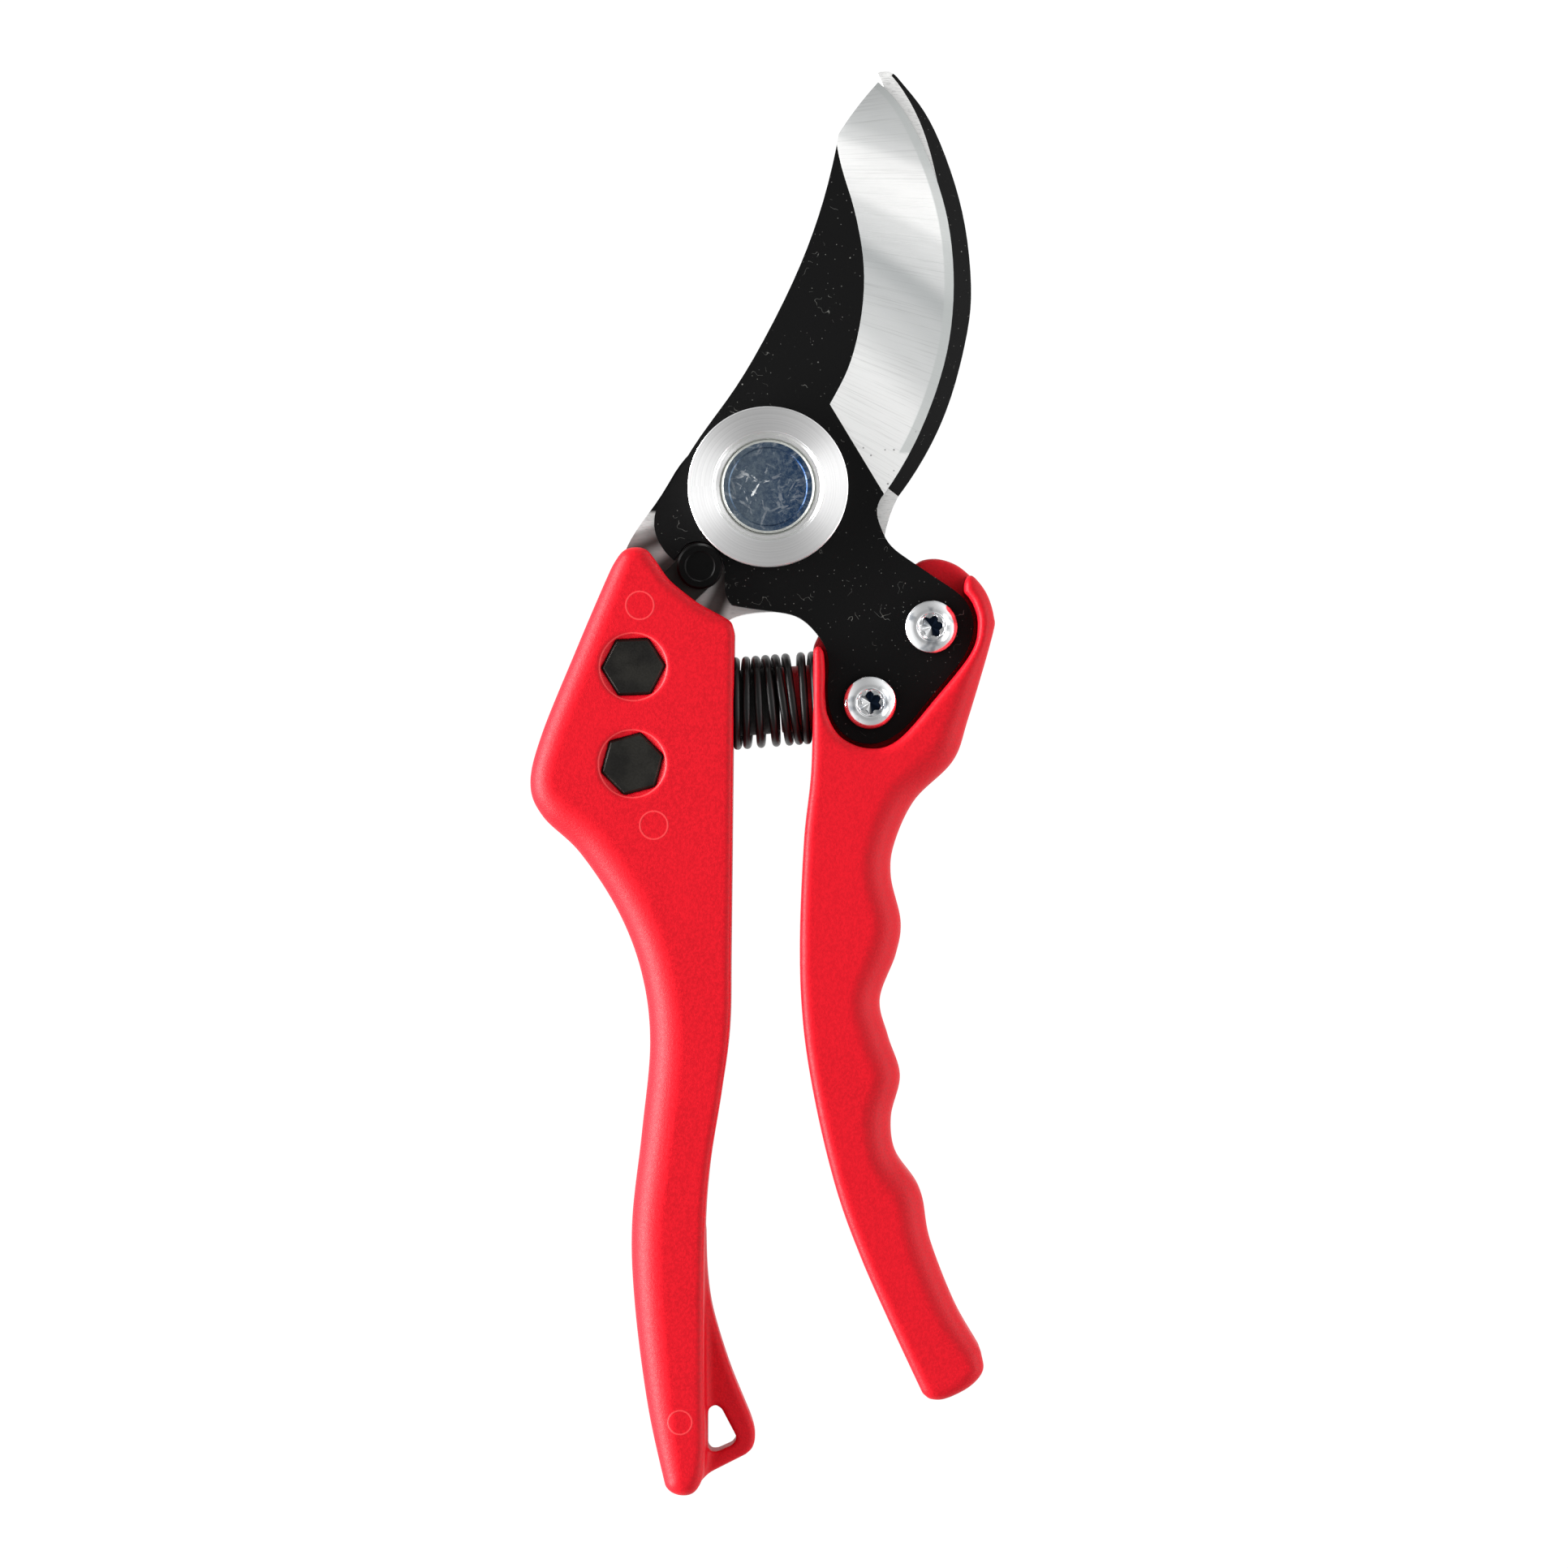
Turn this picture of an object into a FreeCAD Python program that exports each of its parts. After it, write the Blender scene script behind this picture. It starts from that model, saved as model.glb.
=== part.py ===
"""Bypass pruning shears, lying flat, closed and locked.

Frame: millimetres, +Z up. The origin is on the pivot axis, on the plane that the shears lie on.
+Y points from the pivot to the blade tips and +X towards the handle that moves.
"""
import FreeCAD, Part
import Sketcher
import math
import os

V = FreeCAD.Vector

DIMENSIONS = {
    # heights above the rest plane, from the back of the shears to the front
    "handle_depth": 16.0,
    "counter_base": 5.0,
    "counter_thick": 3.5,
    "slide_gap": 0.1,
    "blade_thick": 3.0,
    "edge_land": 0.25,
    "rim_width": 2.6,
    "rim_drop": 1.4,
    "collar_height": 3.2,
    "collar_floor": 0.9,
    # pivot
    "pivot_bolt_r": 4.0,
    "bush_r": 6.0,
    "bush_clearance": 0.05,
    "collar_r": 11.5,
    "collar_recess_r": 7.45,
    "bolt_head_r": 6.7,
    "bolt_head_height": 1.9,
    "pivot_nut_af": 13.0,
    "pivot_flange_r": 9.0,
    "pivot_washer_height": 0.8,
    # handle bolts (M5) and their nuts
    "upper_bolt_x": -19.3,
    "upper_bolt_y": -25.9,
    "lower_bolt_x": -19.45,
    "lower_bolt_y": -39.8,
    "handle_bolt_r": 2.5,
    "handle_bolt_af": 8.0,
    "handle_bolt_head": 3.5,
    "handle_bolt_sunk": 0.2,
    "handle_nut_height": 4.0,
    "counterbore_r": 4.8,
    # blade screws (M4) and their nuts
    "upper_screw_x": 23.5,
    "upper_screw_y": -20.1,
    "lower_screw_x": 14.7,
    "lower_screw_y": -31.0,
    "blade_screw_r": 2.0,
    "blade_screw_head_r": 3.8,
    "blade_screw_head": 2.2,
    "torx_r": 1.75,
    "torx_depth": 1.5,
    "blade_nut_af": 7.0,
    "blade_nut_height": 3.2,
    # catch
    "catch_x": -9.8,
    "catch_y": -11.4,
    "catch_arm": 12.0,
    "catch_angle": 224.0,
    "catch_width": 6.0,
    "catch_button_r": 3.3,
    "catch_button_height": 1.7,
    "catch_pin_r": 1.5,
    "catch_hub_r": 3.2,
    "catch_pin_head_r": 1.9,
    "catch_pin_top": 13.2,
    "catch_washer_thick": 0.5,
    "catch_room_top": 13.6,
    # spring and stop
    "spring_x": 0.7,
    "spring_y": -30.65,
    "spring_tilt": 4.5,
    "spring_r": 6.1,
    "spring_wire_r": 0.6,
    "spring_pitch": 1.56,
    "spring_end_gap": 0.1,
    "spring_pocket_r": 6.9,
    "left_seat_reach": 8.4,
    "right_seat_reach": 7.2,
    "stop_r": 4.75,
    "stop_face": 0.9,
    "stop_gap": 0.1,
    # grips
    "grip_round": 2.0,
    "web_base": 3.0,
    "web_thick": 6.0,
}


class Build:
    """The document, its sheet of dimensions and the sub-parts in the order they were made."""

    def __init__(self):
        self.doc = FreeCAD.newDocument("pruning_shears")
        self.sheet = self.doc.addObject("Spreadsheet::Sheet", "dims")
        for row, (alias, value) in enumerate(DIMENSIONS.items(), start=1):
            self.sheet.set("A%d" % row, alias)
            self.sheet.set("B%d" % row, str(value))
            self.sheet.setAlias("B%d" % row, alias)
        self.doc.recompute()
        self.parts = []

    def value(self, alias):
        return float(self.sheet.get(alias))

    def keep(self, part, label):
        part.Label = label
        self.parts.append(part)
        return part


def cell(text):
    """An expression in which each word of the sheet stands for its cell."""
    for alias in sorted(DIMENSIONS, key=len, reverse=True):
        text = text.replace("<%s>" % alias, "dims." + alias)
    return text


# ---------------------------------------------------------------- sketches and features

def new_body(build, name):
    return build.doc.addObject("PartDesign::Body", name + "_body")


def origin_plane(body, role):
    return next(feature for feature in body.Origin.OriginFeatures if feature.Role == role)


def new_sketch(body, name, height="0", role="XY_Plane"):
    sketch = body.newObject("Sketcher::SketchObject", name)
    sketch.AttachmentSupport = [(origin_plane(body, role), "")]
    sketch.MapMode = "FlatFace"
    if height != "0":
        sketch.setExpression("AttachmentOffset.Base.z", cell(height))
    return sketch


def pin_point(sketch, geometry, point, axis, expression):
    """Tie one coordinate of a sketch point to an expression of the sheet."""
    value = getattr(sketch.getPoint(geometry, point), axis.lower())
    index = sketch.addConstraint(Sketcher.Constraint("Distance" + axis, -1, 1, geometry, point, value))
    sketch.setExpression("Constraints[%d]" % index, cell(expression))


def circle(build, sketch, x, y, r):
    """A circle whose centre and radius are expressions of the sheet; x and y may be 0."""
    centre = V(evaluate(build, x), evaluate(build, y), 0)
    index = sketch.addGeometry(Part.Circle(centre, V(0, 0, 1), evaluate(build, r)))
    radius = sketch.addConstraint(Sketcher.Constraint("Radius", index, evaluate(build, r)))
    sketch.setExpression("Constraints[%d]" % radius, cell(r))
    if x == "0" and y == "0":
        sketch.addConstraint(Sketcher.Constraint("Coincident", -1, 1, index, 3))
        return
    pin_point(sketch, index, 3, "X", x)
    pin_point(sketch, index, 3, "Y", y)


def evaluate(build, text):
    """The number that an expression of the sheet stands for."""
    return float(build.sheet.evalExpression(cell(text).replace("dims.", "")))


def polygon(build, sketch, corners):
    """A closed polygon whose corners are pairs of expressions, each tied to the sheet."""
    points = [V(evaluate(build, x), evaluate(build, y), 0) for x, y in corners]
    count = len(points)
    lines = [sketch.addGeometry(Part.LineSegment(points[i], points[(i + 1) % count])) for i in range(count)]
    for i, line in enumerate(lines):
        sketch.addConstraint(Sketcher.Constraint("Coincident", line, 2, lines[(i + 1) % count], 1))
    for line, (x, y) in zip(lines, corners):
        pin_point(sketch, line, 1, "X", x)
        pin_point(sketch, line, 1, "Y", y)


def outline(sketch, runs):
    """A closed outline of runs that share their ends: two points are a line, more are a curve."""
    for run in runs:
        points = [V(x, y, 0) for x, y in run]
        if len(points) == 2:
            sketch.addGeometry(Part.LineSegment(*points))
            continue
        curve = Part.BSplineCurve()
        curve.interpolate(points)
        sketch.addGeometry(curve)


def loop(sketch, points):
    """A closed smooth curve through the points."""
    curve = Part.BSplineCurve()
    curve.interpolate([V(x, y, 0) for x, y in points], PeriodicFlag=True)
    sketch.addGeometry(curve)


def pad(body, sketch, name, length):
    feature = body.newObject("PartDesign::Pad", name)
    feature.Profile = sketch
    feature.setExpression("Length", cell(length))
    body.Tip = feature
    return feature


def pocket(build, body, sketch, name, length, upwards=True):
    """A pocket from the sketch's plane; it must take material away."""
    build.doc.recompute()
    before = body.Shape.Volume
    feature = body.newObject("PartDesign::Pocket", name)
    feature.Profile = sketch
    feature.Reversed = upwards
    feature.setExpression("Length", cell(length))
    body.Tip = feature
    build.doc.recompute()
    if body.Shape.Volume > before - 1e-3:
        raise RuntimeError("%s cuts nothing" % name)
    return feature


def fillet(build, body, name, radius, wanted):
    """Round the edges of the body's tip that the test wants."""
    build.doc.recompute()
    base = body.Tip
    edges = ["Edge%d" % (i + 1) for i, edge in enumerate(base.Shape.Edges) if wanted(edge)]
    feature = body.newObject("PartDesign::Fillet", name)
    feature.Base = (base, edges)
    feature.setExpression("Radius", cell(radius))
    body.Tip = feature
    build.doc.recompute()
    return feature


def chamfer(build, body, name, size, wanted):
    """Bevel the edges of the body's tip that the test wants."""
    build.doc.recompute()
    base = body.Tip
    edges = ["Edge%d" % (i + 1) for i, edge in enumerate(base.Shape.Edges) if wanted(edge)]
    feature = body.newObject("PartDesign::Chamfer", name)
    feature.Base = (base, edges)
    feature.setExpression("Size", cell(size))
    body.Tip = feature
    build.doc.recompute()
    return feature


def level_edge(edge, height):
    box = edge.BoundBox
    return abs(box.ZMin - height) < 1e-4 and abs(box.ZMax - height) < 1e-4


def turned(build, name, profile, x="0", y="0"):
    """A turned piece: its half section as radius and height expressions, spun about an upright axis."""
    body = new_body(build, name)
    sketch = new_sketch(body, name + "_section", role="XZ_Plane")
    polygon(build, sketch, profile)
    build.doc.recompute()
    feature = body.newObject("PartDesign::Revolution", name + "_turned")
    feature.Profile = sketch
    feature.ReferenceAxis = (sketch, ["V_Axis"])
    feature.Angle = 360
    body.Tip = feature
    place(body, x, y)
    build.doc.recompute()
    return body


def place(body, x, y):
    if x != "0":
        body.setExpression("Placement.Base.x", cell(x))
    if y != "0":
        body.setExpression("Placement.Base.y", cell(y))


def hexagon(flats, turn=0.0):
    """The corners of a hexagon from its width across flats, as expressions."""
    corners = []
    for i in range(6):
        angle = 60 * i + turn
        x = "%s / sqrt(3) * cos(%g deg)" % (flats, angle)
        y = "%s / sqrt(3) * sin(%g deg)" % (flats, angle)
        corners.append((x, y))
    return corners


def cut(build, base, tool, name):
    feature = build.doc.addObject("Part::Cut", name + "_cut")
    feature.Base = base
    feature.Tool = tool
    build.doc.recompute()
    return feature


# ---------------------------------------------------------------- places

BLADE_BASE = "(<counter_base> + <counter_thick> + <slide_gap>)"
BLADE_TOP = "(<counter_base> + <counter_thick> + <slide_gap> + <blade_thick>)"
LEVER_ROOM_TOP = "(" + BLADE_TOP + " + 0.1 + <catch_washer_thick>)"
CATCH_PIVOT_X = "(<catch_x> + <catch_arm> * cos(<catch_angle> * 1deg))"
CATCH_PIVOT_Y = "(<catch_y> + <catch_arm> * sin(<catch_angle> * 1deg))"
HANDLE_BOLTS = {
    "upper": ("<upper_bolt_x>", "<upper_bolt_y>", 2.5),
    "lower": ("<lower_bolt_x>", "<lower_bolt_y>", 15.0),
}
HANDLE_NUT_TURN = -8.0
BLADE_SCREWS = {
    "upper": ("<upper_screw_x>", "<upper_screw_y>"),
    "lower": ("<lower_screw_x>", "<lower_screw_y>"),
}


# ---------------------------------------------------------------- outlines

HOOK_TIP = (15.85, 60.05)
HOOK_HEEL = (18.8, -1.1)
TANG_RIGHT = (16.8, -7.0)

COUNTER_BLADE = [
    [HOOK_TIP, (16.9, 60.35), (18.1, 60.0), (19.1, 59.0), (21.9, 55.6), (25.5, 48.6), (28.1, 40.2),
     (29.25, 32.2), (29.3, 26.0), (28.4, 20.5), (25.7, 11.1), (22.3, 4.1), HOOK_HEEL],
    [HOOK_HEEL, (17.7, -3.6), TANG_RIGHT],
    [TANG_RIGHT, (14.6, -11.2), (10.6, -14.9), (6.0, -17.2), (0.4, -17.8), (-3.1, -18.1), (-5.6, -18.9)],
    [(-5.6, -18.9), (-8.6, -21.0), (-10.6, -24.5), (-11.2, -30.0), (-11.4, -37.0), (-12.6, -43.0),
     (-17.5, -47.0), (-23.0, -45.6), (-26.6, -41.0), (-27.2, -33.0), (-25.4, -24.0), (-22.4, -14.0),
     (-20.7, -9.2)],
    [(-20.7, -9.2), (-18.6, -5.4), (-17.0, -3.2), (-14.9, -0.1), (-13.1, 2.9), (-9.6, 6.8), (-4.0, 11.6),
     (3.0, 17.0), (9.0, 22.0), (13.5, 27.0), (17.0, 34.0), (18.5, 41.0), (18.5, 48.0), (17.7, 54.5),
     (16.6, 58.4), HOOK_TIP],
]

EDGE = [(15.9, 58.7), (18.0, 56.7), (21.2, 51.9), (24.0, 45.6), (25.9, 39.0), (26.7, 33.0), (26.8, 28.0),
        (25.9, 20.0), (23.9, 13.0), (20.9, 6.0), (16.7, -0.9)]
BEVEL_TOP = [(9.6, 51.6), (10.1, 48.3), (10.8, 45.4), (12.0, 41.6), (13.1, 37.0), (13.7, 33.0), (13.78, 28.0),
             (12.9, 21.8), (11.3, 16.6), (9.4, 12.9), (8.9, 12.0)]

CUTTING_BLADE = [
    EDGE,
    [EDGE[-1], (15.9, -2.3), (15.7, -3.6), (16.2, -5.6), (17.4, -8.0), (20.0, -10.2), (25.0, -13.55),
     (28.7, -16.7), (29.6, -19.9), (28.5, -23.8), (23.5, -30.1), (18.3, -35.7), (14.6, -36.9), (10.8, -35.4),
     (8.8, -31.6), (8.7, -27.0), (8.6, -24.0), (7.0, -21.0), (4.2, -18.6), (0.4, -17.8), (-3.6, -17.2),
     (-5.2, -16.9)],
    [(-5.2, -16.9), (-6.0, -15.6), (-6.25, -13.0), (-6.55, -10.4), (-7.9, -8.45), (-9.9, -7.75),
     (-11.7, -8.15), (-13.0, -9.7), (-13.6, -10.4)],
    [(-13.6, -10.4), (-15.2, -8.7), (-16.4, -5.6), (-15.9, -2.6), (-14.2, 0.3), (-10.4, 6.4), (-5.3, 13.5),
     (0.2, 22.8), (4.7, 32.2), (8.0, 41.5), (9.4, 47.0), (10.2, 51.0)],
    [(10.2, 51.0), (13.2, 55.4), EDGE[0]],
]

LEFT_HANDLE = [
    [(-4.8, -21.0), (-5.0, -38.0), (-5.3, -66.0), (-5.5, -77.8), (-6.7, -87.2), (-8.4, -98.0), (-9.1, -108.0),
     (-9.2, -124.0), (-9.0, -140.0)],
    [(-9.0, -140.0), (-9.6, -143.4), (-12.0, -145.0), (-14.8, -143.3)],
    [(-14.8, -143.3), (-17.4, -131.6), (-19.2, -117.6), (-19.6, -106.0), (-18.2, -93.0), (-17.0, -80.0),
     (-18.2, -70.0), (-21.6, -61.0), (-27.1, -52.6), (-32.4, -47.4), (-34.2, -42.7), (-32.6, -35.7),
     (-27.6, -23.4), (-23.4, -13.6), (-21.6, -10.2)],
    [(-21.6, -10.2), (-19.6, -8.7), (-17.2, -9.2), (-15.6, -11.5)],
    [(-15.6, -11.5), (-12.4, -14.9), (-7.7, -18.0)],
    [(-7.7, -18.0), (-5.5, -19.2), (-4.8, -21.0)],
]

TAIL_WEB = [
    [(-13.0, -108.0), (-9.6, -108.5)],
    [(-9.6, -108.5), (-9.0, -113.5), (-7.8, -119.4), (-5.5, -126.8), (-2.4, -134.4)],
    [(-2.4, -134.4), (-1.9, -137.0), (-3.1, -139.6)],
    [(-3.1, -139.6), (-12.7, -144.6)],
    [(-12.7, -144.6), (-13.0, -108.0)],
]
LANYARD_HOLE = [
    [(-7.4, -131.9), (-8.8, -134.0), (-9.1, -137.6), (-8.2, -139.6)],
    [(-8.2, -139.6), (-5.2, -139.4)],
    [(-5.2, -139.4), (-3.9, -137.6), (-4.2, -134.6), (-5.2, -132.2)],
    [(-5.2, -132.2), (-6.3, -131.6), (-7.4, -131.9)],
]

RIGHT_HANDLE = [
    [(7.3, -21.2), (14.6, -17.4), (20.6, -11.4)],
    [(20.6, -11.4), (22.4, -10.3), (25.0, -10.2), (28.0, -11.5), (31.2, -14.8), (32.6, -18.6), (32.3, -21.6),
     (28.8, -33.3), (26.6, -39.4), (21.1, -45.0), (18.2, -51.2), (17.7, -56.0), (19.1, -62.4), (18.4, -67.2),
     (16.1, -73.6), (17.3, -79.0), (19.0, -84.6), (17.7, -90.6), (18.4, -95.8), (21.9, -101.2),
     (23.3, -108.2), (26.9, -117.6), (30.6, -124.2)],
    [(30.6, -124.2), (30.9, -126.9), (25.6, -130.8), (22.2, -130.2)],
    [(22.2, -130.2), (17.4, -119.9), (13.3, -110.6), (9.9, -101.2), (7.0, -89.5), (5.1, -77.8), (4.6, -66.0),
     (5.2, -51.0), (6.3, -40.0), (6.5, -24.6)],
    [(6.5, -24.6), (6.5, -22.6), (7.3, -21.2)],
]

ARM_SEAT = [
    [(5.0, -22.5), (7.2, -22.6)],
    [(7.2, -22.6), (8.1, -23.8), (8.3, -27.0), (8.4, -31.8), (10.5, -35.8), (14.6, -37.3), (18.6, -36.1),
     (23.9, -30.4), (28.9, -24.0), (30.0, -19.8), (29.4, -17.0), (28.2, -15.4)],
    [(28.2, -15.4), (29.4, -10.0)],
    [(29.4, -10.0), (20.0, -4.0)],
    [(20.0, -4.0), (-2.0, -14.0)],
    [(-2.0, -14.0), (5.0, -22.5)],
]


# ---------------------------------------------------------------- blades

def make_rim_tool(build, stations=14):
    """The space above the hook's sloping outer rim, which narrows to nothing at the tip."""
    top = build.value("counter_base") + build.value("counter_thick")
    width = build.value("rim_width")
    drop = build.value("rim_drop")
    rim = Part.BSplineCurve()
    rim.interpolate([V(x, y, top) for x, y in COUNTER_BLADE[0][2:]])
    inner = []
    outer = []
    for i in range(stations):
        share = i / (stations - 1)
        point = rim.value(rim.FirstParameter + (rim.LastParameter - rim.FirstParameter) * share)
        along = rim.tangent(rim.FirstParameter + (rim.LastParameter - rim.FirstParameter) * share)[0]
        inwards = V(along.y, -along.x, 0)
        reach = width * min(1.0, 0.15 + 3.0 * share)
        inner.append(point + inwards * reach)
        outer.append(point - inwards * 0.5 - V(0, 0, drop * (reach + 0.5) / width))
    return ruled_tool(build, "rim_tool", inner, outer)


def ruled_tool(build, name, upper, lower):
    """A solid that stands on the surface ruled between two smooth lines."""
    lines = []
    for points in (upper, lower):
        curve = Part.BSplineCurve()
        curve.interpolate(points)
        lines.append(curve.toShape())
    tool = build.doc.addObject("Part::Feature", name)
    tool.Shape = Part.makeRuledSurface(*lines).extrude(V(0, 0, 3 * build.value("blade_thick")))
    return tool


def make_counter_blade(build):
    """The fixed hook, its pivot eye and the tang that the fixed handle holds, in one plate."""
    body = new_body(build, "counter_blade")
    sketch = new_sketch(body, "counter_blade_outline", "<counter_base>")
    outline(sketch, COUNTER_BLADE)
    pad(body, sketch, "counter_blade_plate", "<counter_thick>")
    holes = new_sketch(body, "counter_blade_holes", "<counter_base>")
    circle(build, holes, "0", "0", "<pivot_bolt_r>")
    for x, y, _turn in HANDLE_BOLTS.values():
        circle(build, holes, x, y, "<handle_bolt_r>")
    circle(build, holes, CATCH_PIVOT_X, CATCH_PIVOT_Y, "<catch_pin_r>")
    pocket(build, body, holes, "counter_blade_bores", "<counter_thick>")
    return build.keep(cut(build, body, make_rim_tool(build), "counter_blade"), "counter_blade")


def make_bevel_tool(build, overshoot=1.12):
    """The space above the ground bevel: ruled from the bevel's upper line to just past the edge."""
    top = evaluate(build, BLADE_TOP)
    drop = build.value("blade_thick") - build.value("edge_land")
    upper = [V(x, y, top) for x, y in BEVEL_TOP]
    lower = []
    for (ax, ay), (bx, by) in zip(BEVEL_TOP, EDGE):
        lower.append(V(ax + (bx - ax) * overshoot, ay + (by - ay) * overshoot, top - drop * overshoot))
    return ruled_tool(build, "bevel_tool", upper, lower)


def make_cutting_blade(build):
    """The moving blade with its long ground bevel, catch notch and the arm that the handle holds."""
    body = new_body(build, "cutting_blade")
    sketch = new_sketch(body, "cutting_blade_outline", BLADE_BASE)
    outline(sketch, CUTTING_BLADE)
    pad(body, sketch, "cutting_blade_plate", "<blade_thick>")
    holes = new_sketch(body, "cutting_blade_holes", BLADE_BASE)
    circle(build, holes, "0", "0", "<bush_r> + <bush_clearance>")
    for x, y in BLADE_SCREWS.values():
        circle(build, holes, x, y, "<blade_screw_r>")
    pocket(build, body, holes, "cutting_blade_bores", "<blade_thick>")
    return build.keep(cut(build, body, make_bevel_tool(build), "cutting_blade"), "cutting_blade")


# ---------------------------------------------------------------- pivot

def make_pivot(build):
    """Bolt, turned collar, bearing bush, spring washer and flanged nut on the pivot axis."""
    counter_top = "<counter_base> + <counter_thick>"
    floor = BLADE_TOP + " + <slide_gap>"
    rim = floor + " + <collar_height>"
    seat = floor + " + <collar_floor>"
    collar = turned(build, "pivot_collar", [
        ("<pivot_bolt_r>", floor), ("<collar_r> - 0.5", floor), ("<collar_r>", floor + " + 0.5"),
        ("<collar_r>", rim + " - 1.0"), ("<collar_r> - 1.0", rim), ("<collar_recess_r> + 0.4", rim),
        ("<collar_recess_r>", rim + " - 0.4"), ("<collar_recess_r>", seat), ("<pivot_bolt_r>", seat)])
    build.keep(collar, "pivot_collar")
    head = seat + " + <bolt_head_height>"
    bolt = turned(build, "pivot_bolt", [
        ("0", "0"), ("<pivot_bolt_r> - 0.5", "0"), ("<pivot_bolt_r>", "0.5"), ("<pivot_bolt_r>", seat),
        ("<bolt_head_r>", seat), ("<bolt_head_r>", head + " - 0.3"), ("<bolt_head_r> - 0.3", head),
        ("<bolt_head_r> - 1.0", head), ("<bolt_head_r> - 1.2", head + " - 0.3"), ("0", head + " - 0.3")])
    build.keep(bolt, "pivot_bolt")
    bush = turned(build, "pivot_bush", [
        ("<pivot_bolt_r>", counter_top), ("<bush_r>", counter_top), ("<bush_r>", floor),
        ("<pivot_bolt_r>", floor)])
    build.keep(bush, "pivot_bush")
    under = "<counter_base> - <pivot_washer_height>"
    washer = turned(build, "pivot_washer", [
        ("<pivot_bolt_r>", under), ("<pivot_flange_r> - 0.6", under),
        ("<pivot_flange_r> - 0.6", "<counter_base>"), ("<pivot_bolt_r>", "<counter_base>")])
    build.keep(washer, "pivot_washer")
    build.keep(make_pivot_nut(build, under), "pivot_nut")


def make_pivot_nut(build, top):
    """A hexagon nut with a round flange against the washer."""
    body = new_body(build, "pivot_nut")
    sketch = new_sketch(body, "pivot_nut_hexagon")
    polygon(build, sketch, hexagon("<pivot_nut_af>"))
    pad(body, sketch, "pivot_nut_block", top)
    flange = new_sketch(body, "pivot_nut_flange_outline", top + " - 1.2")
    circle(build, flange, "0", "0", "<pivot_flange_r>")
    pad(body, flange, "pivot_nut_flange", "1.2")
    hole = new_sketch(body, "pivot_nut_hole")
    circle(build, hole, "0", "0", "<pivot_bolt_r>")
    pocket(build, body, hole, "pivot_nut_bore", top)
    return body


# ---------------------------------------------------------------- fasteners

def make_hex_bolt(build, label, x, y, turn):
    """A hexagon bolt, head flush with the front of the fixed handle."""
    body = new_body(build, label)
    under_head = "(<handle_depth> - <handle_bolt_sunk> - <handle_bolt_head>)"
    shank = new_sketch(body, label + "_shank_outline", "0.8")
    circle(build, shank, "0", "0", "<handle_bolt_r>")
    pad(body, shank, label + "_shank", under_head + " - 0.8")
    head = new_sketch(body, label + "_head_outline", under_head)
    polygon(build, head, hexagon("<handle_bolt_af>", turn))
    pad(body, head, label + "_head", "<handle_bolt_head>")
    top = build.value("handle_depth") - build.value("handle_bolt_sunk")
    chamfer(build, body, label + "_edge", "0.35", lambda edge: level_edge(edge, top))
    place(body, x, y)
    return build.keep(body, label)


def make_nut(build, label, x, y, base, height, flats, bore, turn):
    """A plain hexagon nut let into the back of a handle."""
    body = new_body(build, label)
    sketch = new_sketch(body, label + "_outline", base)
    polygon(build, sketch, hexagon(flats, turn))
    pad(body, sketch, label + "_block", height)
    hole = new_sketch(body, label + "_hole", base)
    circle(build, hole, "0", "0", bore)
    pocket(build, body, hole, label + "_bore", height)
    place(body, x, y)
    return build.keep(body, label)


def make_blade_screw(build, label, x, y):
    """A button head screw with a six-lobed socket, through the blade's arm into the moving handle."""
    top = BLADE_TOP
    body = turned(build, label, [
        ("0", "1.4"), ("<blade_screw_r>", "1.4"), ("<blade_screw_r>", top), ("<blade_screw_head_r>", top),
        ("<blade_screw_head_r>", top + " + <blade_screw_head> * 0.25"),
        ("<blade_screw_head_r> * 0.94", top + " + <blade_screw_head> * 0.55"),
        ("<blade_screw_head_r> * 0.8", top + " + <blade_screw_head> * 0.82"),
        ("<blade_screw_head_r> * 0.6", top + " + <blade_screw_head>"), ("0", top + " + <blade_screw_head>")],
        x, y)
    socket = new_sketch(body, label + "_socket_outline", top + " + <blade_screw_head> - <torx_depth>")
    mean = build.value("torx_r")
    star = []
    for i in range(36):
        angle = math.radians(10 * i)
        r = mean + 0.25 * math.cos(6 * angle)
        star.append((r * math.cos(angle), r * math.sin(angle)))
    loop(socket, star)
    pocket(build, body, socket, label + "_socket", "<torx_depth> + 1")
    return build.keep(body, label)


# ---------------------------------------------------------------- catch

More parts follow.
